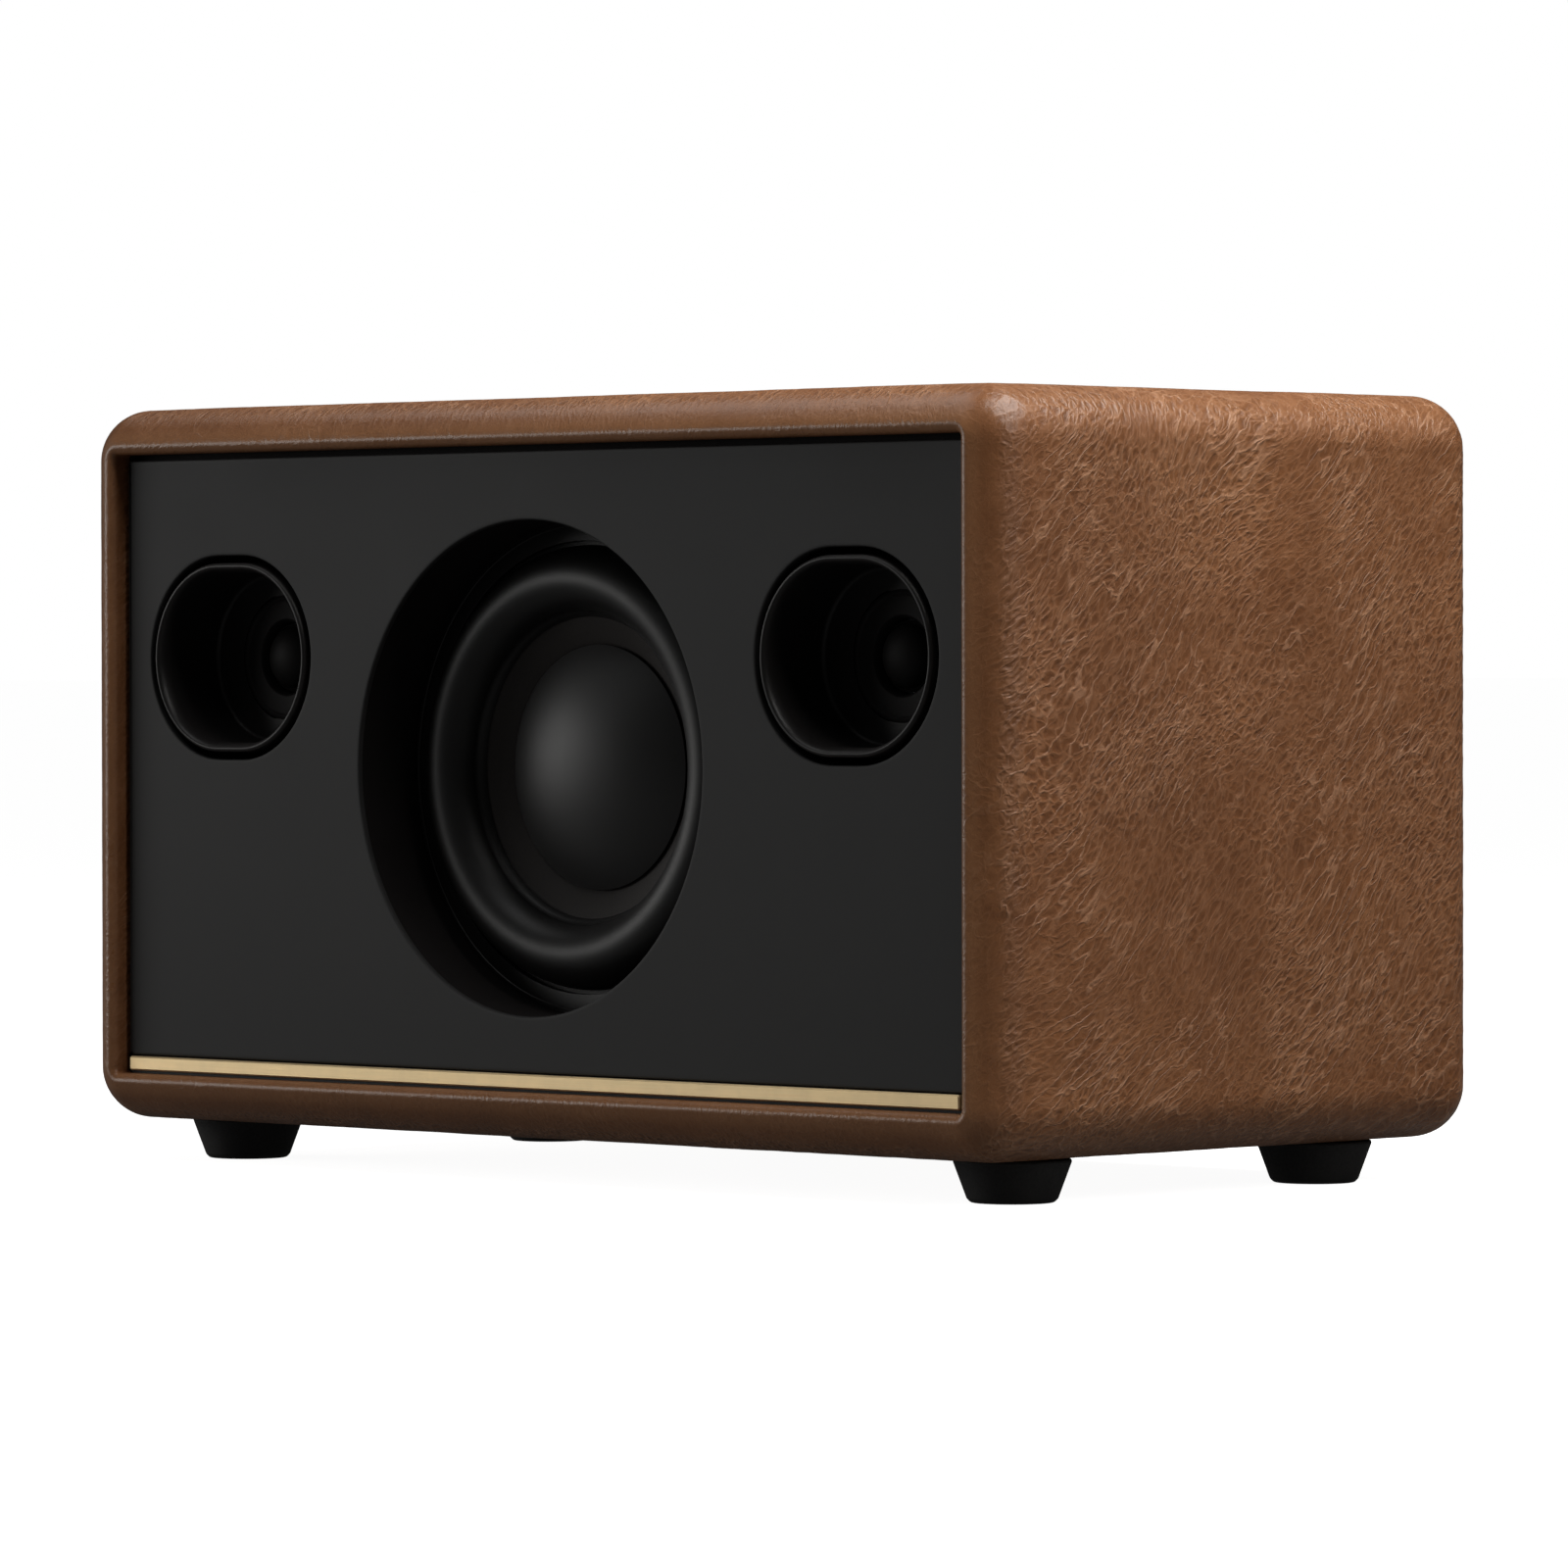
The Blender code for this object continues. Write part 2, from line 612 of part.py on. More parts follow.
for (x, y), word in zip(BUTTON_AT, ("source", "band")):
    turned(
        f"{word}_button",
        [
            (0, 147.0), (3.0, 147.0), (3.7, 146.5), (3.7, 139.6), (4.9, 139.6), (4.9, 138.4), (1.5, 138.4), (1.5, 134.9), (0, 134.9),
        ],
        "Z", (x, y), 10, (0.5, 0.38, 0.2), 0.3, 1.0, origin=(x, y, 147.0),
    )

turned(
    "power_switch",
    [
        (0, 131.6), (6.5, 131.6), (6.5, 139.6), (4.0, 139.6), (4.0, 144.6), (3.4, 144.6), (2.0, LEVER_PIVOT_Z),
        (3.1, 135.4), (0, 135.4),
    ],
    "Z", (LEVER_X, WELL_Y), 10, (0.45, 0.45, 0.45), 0.3, 1.0,
)
lever = turned(
    "power_lever",
    [(0, 136.6), (1.1, 136.9), (1.3, 141.0), (1.3, 145.5), (2.1, 152.0), (1.7, 153.3), (0, 153.9)],
    "Z", (LEVER_X, WELL_Y), 10, (0.5, 0.38, 0.2), 0.3, 1.0, origin=(LEVER_X, WELL_Y, LEVER_PIVOT_Z),
)
# it rests thrown towards the front, switched off
lever.rotation_euler = (math.radians(LEVER_TILT), 0.0, 0.0)
turned(
    "indicator_lens",
    [(0, 144.0), (1.1, 143.8), (2.0, 143.1), (2.0, 138.6), (0, 138.6)],
    "Z", (LENS_X, WELL_Y), 10, (0.5, 0.05, 0.02), 0.15,
)

# ------------------------------------------------------------ inner modules
pack = soften(box("battery_pack", (-38.0, 38.0), (16.0, 54.0), (INNER_Z0 + GAP, INNER_Z0 + GAP + 20.0), (0.02, 0.08, 0.25), 0.4), 3.0, 2)
amp = box("amp_board", (111.0, 112.6), (-24.0, 44.0), (30.0, 112.0), (0.03, 0.12, 0.05), 0.5)
for k, (y, z) in enumerate(((-19.0, 35.0), (39.0, 35.0), (-19.0, 107.0), (39.0, 107.0))):
    add(amp, prism(f"standoff_{k}", circle(3.0, 8), 112.2, INNER_X - GAP, "X", (y, z), None))
for k, (y, z, r, h) in enumerate(((30.0, 58.0, 8.0, 20.0), (30.0, 78.0, 8.0, 20.0), (4.0, 44.0, 5.0, 12.0))):
    add(amp, prism(f"capacitor_{k}", circle(r, 12), 111.4, 111.0 - h, "X", (y, z), None))
fins = []
for k in range(5):
    y0 = -18.0 + 7.0 * k
    fins += [(104.0, y0), (94.0, y0), (94.0, y0 + 2.5), (104.0, y0 + 2.5)]
outline = [(110.7, -18.0)] + fins + [(110.7, fins[-1][1])]
piece(
    "heat_sink",
    *loft([at_z(outline, 62.0), at_z(outline, 100.0)]),
    (0.08, 0.08, 0.085), 0.4, 0.9, smooth=False,
)
antenna = turned(
    "ferrite_antenna",
    [(0, -58.0), (5.0, -58.0), (5.0, 22.0), (6.6, 22.0), (6.6, 44.0), (5.0, 44.0), (5.0, 58.0), (0, 58.0)],
    "X", (-16.0, 136.0), 12, (0.06, 0.06, 0.065), 0.5,
)
for s in (-1, 1):
    add(
        antenna,
        box(f"antenna_saddle_{s}", sorted((s * 48.0, s * 54.0)), (-23.0, -9.0), (130.0, INNER_Z1 - GAP), None),
    )

# --------------------------------------------------------------------- feet
for (x, y), word in zip(FOOT_AT, ("front_left", "front_right", "rear_left", "rear_right")):
    turned(
        f"foot_{word}",
        [(0, 0.0), (7.4, 0.0), (8.7, 0.9), (11.4, Z0 - GAP - 0.4), (11.0, Z0 - GAP), (0, Z0 - GAP)],
        "Z", (x, y), 16, (0.012, 0.012, 0.012), 0.7,
    )
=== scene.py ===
import math

import bmesh
import bpy
import numpy as np
from mathutils import Matrix, Vector
from mathutils.geometry import tessellate_polygon


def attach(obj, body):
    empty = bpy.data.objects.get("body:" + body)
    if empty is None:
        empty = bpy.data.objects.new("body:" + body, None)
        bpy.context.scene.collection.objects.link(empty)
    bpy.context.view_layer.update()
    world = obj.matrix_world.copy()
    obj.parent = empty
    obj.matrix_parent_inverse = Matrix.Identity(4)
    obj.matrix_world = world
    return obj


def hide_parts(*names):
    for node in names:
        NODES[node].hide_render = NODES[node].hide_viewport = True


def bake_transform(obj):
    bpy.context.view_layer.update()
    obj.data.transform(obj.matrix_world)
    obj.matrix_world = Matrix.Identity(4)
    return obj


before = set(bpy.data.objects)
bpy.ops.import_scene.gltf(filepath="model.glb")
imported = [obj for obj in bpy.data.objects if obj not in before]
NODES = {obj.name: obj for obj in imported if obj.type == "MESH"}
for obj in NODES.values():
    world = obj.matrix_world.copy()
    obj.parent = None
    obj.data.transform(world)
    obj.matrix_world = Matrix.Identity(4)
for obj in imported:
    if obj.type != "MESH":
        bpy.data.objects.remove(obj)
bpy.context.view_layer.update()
MM = 0.001

# --------------------------------------------------------------- dimensions
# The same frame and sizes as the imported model, in millimetres.
WIDTH, DEPTH, BOX_H = 260.0, 142.0, 146.6
EDGE_R, RIM, LIP_R = 10.7, 9.5, 1.7
Z0, Z1 = 8.6, 155.2
ZC = 0.5 * (Z0 + Z1)
BAFFLE_FRONT, BAFFLE_SEAT, BAFFLE_REAR = -67.0, -65.2, -51.6
REAR_FACE = 66.6
WELL_Y = 33.0
TW = ((-87.8, 103.9), (87.8, 103.9))
KNOBS = (("volume", -26.0, -150.0), ("tone", 6.0, 0.0), ("tuning", 38.0, 0.0))
BUTTONS = (("source", 61.0, 25.5), ("band", 61.0, 40.5))
LEVER_X, LENS_X = -52.0, -66.0
PORT_AT, INLET_AT, AUX_AT = (-78.0, 62.0), (88.0, 44.0), (88.0, 72.0)
SCREWS = ((-115.5, ZC - 58.6), (115.5, ZC - 58.6), (-115.5, ZC + 58.6), (115.5, ZC + 58.6))
FEET = {"front_left": (-109.0, -43.5), "front_right": (109.0, -43.5), "rear_left": (-109.0, 43.5), "rear_right": (109.0, 43.5)}
BODY = "radio_body"


# ------------------------------------------------------------ small helpers
def mesh_piece(name, verts, faces, mat, body, nodes=(), slot=None, sharp=38.0, recalc=True):
    me = bpy.data.meshes.new(name)
    me.from_pydata([tuple(c * MM for c in v) for v in verts], [], faces)
    if recalc:
        bm = bmesh.new()
        bm.from_mesh(me)
        bmesh.ops.recalc_face_normals(bm, faces=bm.faces)
        bm.to_mesh(me)
        bm.free()
    me.materials.append(mat)
    ob = bpy.data.objects.new(name, me)
    bpy.context.scene.collection.objects.link(ob)
    me.shade_smooth()
    if sharp:
        me.set_sharp_from_angle(angle=math.radians(sharp))
    if body:
        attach(ob, body)
    if nodes:
        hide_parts(*nodes)
    return ob


def loft(rings, closed=False):
    verts, start, faces = [], [], []
    for r in rings:
        start.append(len(verts))
        verts.extend(r)
    pairs = [(i, i + 1) for i in range(len(rings) - 1)]
    if closed:
        pairs.append((len(rings) - 1, 0))
    for a, b in pairs:
        na, nb = len(rings[a]), len(rings[b])
        n = max(na, nb)
        for k in range(n):
            j = (k + 1) % n
            f = []
            for p in (
                start[a] + (k if na > 1 else 0),
                start[a] + (j if na > 1 else 0),
                start[b] + (j if nb > 1 else 0),
                start[b] + (k if nb > 1 else 0),
            ):
                if p not in f:
                    f.append(p)
            faces.append(f)
    if not closed:
        for i in (0, len(rings) - 1):
            if len(rings[i]) > 2:
                faces.append([start[i] + k for k in range(len(rings[i]))])
    return verts, faces


def circle(r, n):
    return [(r * math.cos(2 * math.pi * k / n), r * math.sin(2 * math.pi * k / n)) for k in range(n)]


def round_rect(hx, hy, r, n=6):
    out = []
    for q, (sx, sy) in enumerate(((1, 1), (-1, 1), (-1, -1), (1, -1))):
        for k in range(n + 1):
            a = math.pi / 2 * (q + k / n)
            out.append((sx * (hx - r) + r * math.cos(a), sy * (hy - r) + r * math.sin(a)))
    return out


def obround(w, h, n=36):
    r, s = h / 2, (w - h) / 2
    out = []
    for side, a0 in ((1, -math.pi / 2), (-1, math.pi / 2)):
        for k in range(n + 1):
            a = a0 + math.pi * k / n
            out.append((side * s + r * math.cos(a), r * math.sin(a)))
    return out


def at_y(p, y, cx=0.0, cz=0.0):
    return [(cx + u, y, cz + v) for u, v in p]


def at_z(p, z, cx=0.0, cy=0.0):
    return [(cx + u, cy + v, z) for u, v in p]


ON = {"Y": at_y, "Z": at_z}


def rounded(points, closed=False, n=5):
    """Rounds the corners of a profile. Points are (a, b) or (a, b, radius)."""
    out, m = [], len(points)
    for i, p in enumerate(points):
        r = p[2] if len(p) > 2 else 0.0
        if r <= 0 or (not closed and i in (0, m - 1)):
            out.append((p[0], p[1]))
            continue
        o = Vector(p[:2])
        a, b = Vector(points[(i - 1) % m][:2]) - o, Vector(points[(i + 1) % m][:2]) - o
        la, lb = a.length, b.length
        a.normalize()
        b.normalize()
        ang = a.angle(b)
        if ang > math.radians(177):
            out.append((p[0], p[1]))
            continue
        t = min(r / math.tan(ang / 2), 0.48 * la, 0.48 * lb)
        rr = t * math.tan(ang / 2)
        c = o + (a + b).normalized() * (rr / math.sin(ang / 2))
        pa, pb = o + a * t - c, o + b * t - c
        a0 = math.atan2(pa.y, pa.x)
        d = (math.atan2(pb.y, pb.x) - a0 + math.pi) % (2 * math.pi) - math.pi
        for k in range(n + 1):
            w = a0 + d * k / n
            out.append((c.x + rr * math.cos(w), c.y + rr * math.sin(w)))
    return out


def turned(name, profile, axis, centre, n, mat, body, nodes=(), slot=None, closed=None, **more):
    closed = profile[0][0] != 0 if closed is None else closed
    prof = rounded(profile, closed)
    rings = [ON[axis]([(0.0, 0.0)] if r <= 1e-9 else circle(r, n), h, *centre) for r, h in prof]
    return mesh_piece(name, *loft(rings, closed=closed), mat, body, nodes, slot, **more)


def flat_plate(name, outer, holes, h0, h1, axis, mat, body, nodes=(), slot=None, edge=0.5, turn=1):
    """A plate from h0 (the seen face) to h1 with softly rounded hole edges.
    holes are outlines with their centres: (outline, (cx, cy))."""
    on = ON[axis]
    s = 1.0 if h1 > h0 else -1.0
    verts, faces = [], []

    def grow(outline, by):
        pts = [Vector(p) for p in outline]
        m = len(pts)
        res = []
        for i in range(m):
            a, b = pts[(i - 1) % m], pts[(i + 1) % m]
            t = b - a
            nrm = Vector((t.y, -t.x)).normalized()
            res.append(tuple(pts[i] + nrm * by))
        return res

    loops_front, loops_back = [], []
    steps = [(edge + 0.5, 0.0), (edge, 0.0), (edge * 0.62, edge * 0.08), (edge * 0.29, edge * 0.29), (edge * 0.08, edge * 0.62), (0.0, edge)]
    everything = [(outer, (0.0, 0.0), -1.0)] + [(o, c, 1.0) for o, c in holes]
    for outline, c, sign in everything:
        rings = [([(u + c[0], v + c[1]) for u, v in grow(outline, sign * g)], h0 + s * d) for g, d in steps]
        rings.append(([(u + c[0], v + c[1]) for u, v in outline], h1))
        base = len(verts)
        m = len(outline)
        for pts, h in rings:
            verts.extend(on(pts, h))
        for a in range(len(rings) - 1):
            for k in range(m):
                j = (k + 1) % m
                faces.append([base + a * m + k, base + a * m + j, base + (a + 1) * m + j, base + (a + 1) * m + k])
        loops_front.append([(Vector((*p, 0.0)), base + k) for k, p in enumerate(rings[0][0])])
        last = (len(rings) - 1) * m
        loops_back.append([(Vector((*p, 0.0)), base + last + k) for k, p in enumerate(rings[-1][0])])
    for loops in (loops_front, loops_back):
        ids = [i for lp in loops for _, i in lp]
        for t in tessellate_polygon([[p for p, _ in lp] for lp in loops]):
            if len({ids[q] for q in t}) == 3:
                faces.append([ids[q] for q in t])
    return mesh_piece(name, verts, faces, mat, body, nodes, slot, sharp=30.0)


# ---------------------------------------------------- noise for real relief
class Noise:
    """Gradient noise over arrays of points, the same on every run."""

    def __init__(self, seed):
        rs = np.random.RandomState(seed)
        self.perm = np.concatenate([rs.permutation(256)] * 2)
        g = rs.normal(size=(256, 3))
        self.grad = g / np.linalg.norm(g, axis=1)[:, None]

    def __call__(self, p):
        i = np.floor(p).astype(np.int64)
        f = p - i
        i &= 255
        u = f * f * f * (f * (f * 6 - 15) + 10)
        total = np.zeros(len(p))
        for dx in (0, 1):
            wx = u[:, 0] if dx else 1 - u[:, 0]
            for dy in (0, 1):
                wy = u[:, 1] if dy else 1 - u[:, 1]
                for dz in (0, 1):
                    wz = u[:, 2] if dz else 1 - u[:, 2]
                    h = self.perm[(self.perm[(self.perm[(i[:, 0] + dx) & 255] + i[:, 1] + dy) & 255] + i[:, 2] + dz) & 255]
                    d = f - np.array([dx, dy, dz])
                    total += wx * wy * wz * (self.grad[h] * d).sum(axis=1)
        return total * 1.6


# --------------------------------------------------------------- materials
class Mat:
    """A node material being built. Patterns run in object space, in mm."""

    def __init__(self, name, colour=(0.5, 0.5, 0.5), rough=0.5, metal=0.0, **sockets):
        self.m = bpy.data.materials.new(name)
        self.m.use_nodes = True
        self.nt = self.m.node_tree
        self.b = self.nt.nodes["Principled BSDF"]
        self.b.inputs["Base Color"].default_value = (*colour, 1.0)
        self.b.inputs["Roughness"].default_value = rough
        self.b.inputs["Metallic"].default_value = metal
        for k, v in sockets.items():
            self.b.inputs[k.replace("_", " ")].default_value = v
        self.m.diffuse_color = (*colour, 1.0)
        tc = self.nt.nodes.new("ShaderNodeTexCoord")
        self.mm = self.mapping(tc.outputs["Object"], scale=(1000.0,) * 3)

    def node(self, kind, **props):
        n = self.nt.nodes.new("ShaderNode" + kind)
        for k, v in props.items():
            setattr(n, k, v)
        return n

    def link(self, a, b):
        self.nt.links.new(a, b)

    def mapping(self, vec, scale=(1, 1, 1), rot=(0, 0, 0), loc=(0, 0, 0)):
        n = self.node("Mapping")
        n.inputs["Scale"].default_value = scale
        n.inputs["Rotation"].default_value = [math.radians(a) for a in rot]
        n.inputs["Location"].default_value = loc
        self.link(vec, n.inputs["Vector"])
        return n.outputs["Vector"]

    def noise(self, vec, scale, detail=2.0, rough=0.5, distort=0.0, colour=False):
        n = self.node("TexNoise")
        n.inputs["Scale"].default_value = scale
        n.inputs["Detail"].default_value = detail
        n.inputs["Roughness"].default_value = rough
        n.inputs["Distortion"].default_value = distort
        self.link(vec, n.inputs["Vector"])
        return n.outputs["Color" if colour else "Fac"]

    def voronoi(self, vec, scale, feature="F1", out="Distance", smooth=0.5, random=1.0):
        n = self.node("TexVoronoi", feature=feature)
        n.inputs["Scale"].default_value = scale
        n.inputs["Randomness"].default_value = random
        if feature == "SMOOTH_F1":
            n.inputs["Smoothness"].default_value = smooth
        self.link(vec, n.inputs["Vector"])
        return n.outputs[out]

    def wave(self, vec, scale, kind="BANDS", direction="X", distort=0.0, detail=2.0):
        n = self.node("TexWave", wave_type=kind, bands_direction=direction)
        n.inputs["Scale"].default_value = scale
        n.inputs["Distortion"].default_value = distort
        n.inputs["Detail"].default_value = detail
        self.link(vec, n.inputs["Vector"])
        return n.outputs["Fac"]

    def math(self, op, a, b=None, clamp=False):
        n = self.node("Math", operation=op, use_clamp=clamp)
        for i, v in enumerate((a, b)):
            if v is None:
                continue
            if isinstance(v, (int, float)):
                n.inputs[i].default_value = v
            else:
                self.link(v, n.inputs[i])
        return n.outputs[0]

    def span(self, v, a, b, lo=0.0, hi=1.0, smooth=False):
        n = self.node("MapRange", interpolation_type="SMOOTHSTEP" if smooth else "LINEAR")
        n.inputs["From Min"].default_value = a
        n.inputs["From Max"].default_value = b
        n.inputs["To Min"].default_value = lo
        n.inputs["To Max"].default_value = hi
        self.link(v, n.inputs["Value"])
        return n.outputs["Result"]

    def ramp(self, v, stops):
        n = self.node("ValToRGB")
        el = n.color_ramp.elements
        while len(el) < len(stops):
            el.new(0.5)
        for e, (p, c) in zip(el, stops):
            e.position = p
            e.color = (*c, 1.0)
        self.link(v, n.inputs["Fac"])
        return n.outputs["Color"]

    def mix(self, fac, a, b, how="MIX"):
        n = self.node("Mix", data_type="RGBA", blend_type=how)
        for sock, v in ((n.inputs[0], fac), (n.inputs[6], a), (n.inputs[7], b)):
            if isinstance(v, (int, float)):
                sock.default_value = v
            elif isinstance(v, tuple):
                sock.default_value = (*v, 1.0)
            else:
                self.link(v, sock)
        return n.outputs[2]

    def warp(self, vec, scale, amount, detail=2.0):
        c = self.noise(vec, scale, detail, colour=True)
        sub = self.node("VectorMath", operation="SUBTRACT")
        self.link(c, sub.inputs[0])
        sub.inputs[1].default_value = (0.5, 0.5, 0.5)
        mul = self.node("VectorMath", operation="SCALE")
        self.link(sub.outputs[0], mul.inputs[0])
        mul.inputs["Scale"].default_value = amount
        add = self.node("VectorMath", operation="ADD")
        self.link(vec, add.inputs[0])
        self.link(mul.outputs[0], add.inputs[1])
        return add.outputs[0]

    def colour(self, out):
        self.link(out, self.b.inputs["Base Color"])

    def rough(self, out):
        self.link(out, self.b.inputs["Roughness"])

    def bump(self, height, depth_mm, strength=1.0, over=None):
        n = self.node("Bump")
        n.inputs["Strength"].default_value = strength
        n.inputs["Distance"].default_value = depth_mm * MM
        self.link(height, n.inputs["Height"])
        if over is not None:
            self.link(over, n.inputs["Normal"])
        self.link(n.outputs["Normal"], self.b.inputs["Normal"])
        return n.outputs["Normal"]


def leather_material():
    t = Mat("leather_brown", (0.24, 0.100, 0.040), 0.50, Specular_IOR_Level=0.36)
    mm = t.mm
    # the grain runs up and back along the sides and wanders slowly
    slow = t.warp(mm, 0.018, 22.0, 1.0)
    bent = t.warp(slow, 0.17, 2.2, 2.0)
    turned_ = t.mapping(bent, rot=(46, 0, 0))
    tight = t.warp(turned_, 0.60, 0.6, 1.0)
    # a fine net of raised lines round cells about 1.6 mm by 2.6 mm; the lines get a painted highlight and the cell
    # hollows painted shade
    peb = t.voronoi(t.mapping(tight, scale=(0.62, 0.68, 0.31)), 1.0, "DISTANCE_TO_EDGE")
    net = t.span(peb, 0.0, 0.20, 1.0, 0.0, smooth=True)
    hollow = t.span(peb, 0.14, 0.42, 0.0, 1.0, smooth=True)
    # finer cells that break it up, with painted shade in their dimples
    peb2 = t.voronoi(t.mapping(tight, scale=(1.05, 1.15, 0.80), loc=(5.0, 2.0, 9.0)), 1.0, "SMOOTH_F1", smooth=0.4)
    dimple = t.span(peb2, 0.12, 0.55, 1.0, 0.0, smooth=True)
    # long raised creases in the same direction, with a painted highlight along them
    line = t.noise(t.mapping(tight, scale=(0.24, 0.36, 0.070), loc=(3.1, 7.7, 1.3)), 1.0, 1.5, 0.45)
    ridge = t.span(t.math("ABSOLUTE", t.math("SUBTRACT", line, 0.5)), 0.0, 0.040, 1.0, 0.0, smooth=True)
    line2 = t.noise(t.mapping(tight, scale=(0.40, 0.55, 0.13), loc=(13.1, 2.7, 21.3)), 1.0, 1.0, 0.4)
    ridge2 = t.span(t.math("ABSOLUTE", t.math("SUBTRACT", line2, 0.5)), 0.0, 0.055, 1.0, 0.0, smooth=True)
    # some areas carry more grain than others
    where = t.span(t.noise(mm, 0.040, 2.0, 0.5), 0.38, 0.62, 0.50, 1.0, smooth=True)
    where2 = t.span(t.noise(t.mapping(mm, loc=(41.0, 13.0, 77.0)), 0.050, 2.0, 0.5), 0.40, 0.62, 0.15, 1.0, smooth=True)
    taut_and_lip_highlight = t.node("Attribute", attribute_name="taut_and_lip_highlight").outputs["Fac"]
    slack = t.span(taut_and_lip_highlight, 0.0, 0.45, 1.0, 0.28, smooth=True)
    where = t.math("MULTIPLY", where, slack)
    where2 = t.math("MULTIPLY", where2, slack)
    net_w = t.math("MULTIPLY", net, where)
    hollow_w = t.math("MULTIPLY", hollow, where)
    ridge_w = t.math("MULTIPLY", ridge, where2)
    ridge2_w = t.math("MULTIPLY", ridge2, where)
    dimple_w = t.math("MULTIPLY", dimple, where)
    fine = t.noise(mm, 2.9, 3.0, 0.62)
    # tone: broad clouds and mid mottling
    broad = t.noise(mm, 0.020, 2.0, 0.5)
    mott = t.noise(t.warp(mm, 0.06, 9.0), 0.10, 4.0, 0.62)
    base = t.ramp(
        t.math("ADD", t.math("MULTIPLY", broad, 0.55), t.math("MULTIPLY", mott, 0.45)),
        [(0.34, (0.150, 0.055, 0.0180)), (0.48, (0.188, 0.071, 0.0238)), (0.60, (0.222, 0.088, 0.0305)), (0.74, (0.266, 0.110, 0.0405))],
    )
    relief = t.node("Attribute", attribute_name="relief").outputs["Fac"]
    worn = t.node("Attribute", attribute_name="worn").outputs["Fac"]
    # painted shade in the crease valleys and a painted highlight on the crease ridges and the gathers at the upright
    # edges
    base = t.mix(t.span(relief, 0.10, 0.55, 0.22, 0.0), base, (0.105, 0.040, 0.0145))
    base = t.mix(t.span(relief, 0.62, 1.0, 0.0, 0.22), base, (0.42, 0.215, 0.115))
    # painted shade in the hollows and dimples, painted highlights on the raised net lines and creases
    base = t.mix(t.math("MULTIPLY", hollow_w, 0.42), base, (0.092, 0.033, 0.0110))
    base = t.mix(t.math("MULTIPLY", dimple_w, 0.36), base, (0.092, 0.033, 0.0110))
    base = t.mix(t.math("MULTIPLY", net_w, 0.30), base, (0.40, 0.205, 0.110))
    base = t.mix(t.math("MULTIPLY", ridge2_w, 0.26), base, (0.42, 0.220, 0.120))
    base = t.mix(t.math("MULTIPLY", ridge_w, 0.46), base, (0.46, 0.250, 0.145))
    base = t.mix(t.math("MULTIPLY", worn, 0.08), base, (0.44, 0.245, 0.145))
    # painted highlight: lighter tan along the front-most lips of the front and rear rims
    base = t.mix(t.span(taut_and_lip_highlight, 0.62, 0.99, 0.0, 0.30, smooth=True), base, (0.46, 0.225, 0.105))
    base = t.mix(0.26, base, t.ramp(fine, [(0.3, (0.36, 0.36, 0.36)), (0.7, (0.64, 0.64, 0.64))]), "OVERLAY")
    t.colour(base)
    rough = t.math("ADD", t.span(mott, 0.3, 0.7, 0.47, 0.56), t.math("MULTIPLY", hollow_w, 0.08))
    t.rough(t.math("SUBTRACT", rough, t.math("MULTIPLY", worn, 0.22)))
    h = t.math("ADD", t.math("MULTIPLY", hollow_w, -0.30), t.math("MULTIPLY", dimple_w, -0.28))
    h = t.math("ADD", h, t.math("MULTIPLY", net_w, 0.34))
    h = t.math("ADD", h, t.math("MULTIPLY", ridge2_w, 0.26))
    h = t.math("ADD", h, t.math("MULTIPLY", ridge_w, 0.44))
    h = t.math("ADD", h, t.math("MULTIPLY", fine, 0.16))
    t.bump(h, 0.20, 1.0)
    return t.m


def satin_black(name, colour=(0.022, 0.022, 0.023), rough=0.42, grain=0.03, size=3.0, **more):
    t = Mat(name, colour, rough, **more)
    n = t.noise(t.mm, size, 3.0, 0.6)
    big = t.noise(t.mm, 0.04, 2.0)
    lo = tuple(c * 0.88 for c in colour)
    hi = tuple(c * 1.14 for c in colour)
    t.colour(t.ramp(big, [(0.35, lo), (0.65, hi)]))
    t.rough(t.math("ADD", t.span(n, 0.3, 0.7, rough - 0.03, rough + 0.04), t.span(big, 0.3, 0.7, -0.02, 0.02)))
    t.bump(n, grain, 0.6)
    return t.m


def textured_black(name, colour=(0.022, 0.022, 0.022), rough=0.55, scale=1.1, depth=0.09):
    """Moulded plastic with a fine spark-eroded texture."""
    t = Mat(name, colour, rough)
    v = t.voronoi(t.mm, scale, "SMOOTH_F1", smooth=0.6)
    n = t.noise(t.mm, scale * 2.2, 2.0)
    t.colour(t.mix(t.span(v, 0.1, 0.7, 0.0, 0.6), tuple(c * 1.25 for c in colour), tuple(c * 0.7 for c in colour)))
    t.rough(t.span(n, 0.3, 0.7, rough - 0.05, rough + 0.08))
    t.bump(t.math("ADD", v, t.math("MULTIPLY", n, 0.4)), depth, 0.8)
    return t.m


def brushed_brass(name, along="X", colour=(0.60, 0.46, 0.27), rough=0.34, metal=1.0):
    t = Mat(name, colour, rough, metal)
    stretch = {"X": (0.05, 5.0, 5.0), "Y": (5.0, 0.05, 5.0), "Z": (5.0, 5.0, 0.05)}[along]
    lines = t.noise(t.mapping(t.mm, scale=stretch), 1.0, 3.0, 0.6)
    patina = t.noise(t.mm, 0.09, 3.0, 0.6)
    base = t.ramp(patina, [(0.3, tuple(c * 0.86 for c in colour)), (0.7, tuple(min(1, c * 1.08) for c in colour))])
    base = t.mix(0.35, base, t.ramp(lines, [(0.35, (0.38, 0.38, 0.38)), (0.65, (0.62, 0.62, 0.62))]), "OVERLAY")
    t.colour(base)
    t.rough(t.math("ADD", t.span(lines, 0.3, 0.7, rough - 0.06, rough + 0.08), t.span(patina, 0.3, 0.7, -0.03, 0.04)))
    t.bump(lines, 0.012, 0.6)
    return t.m


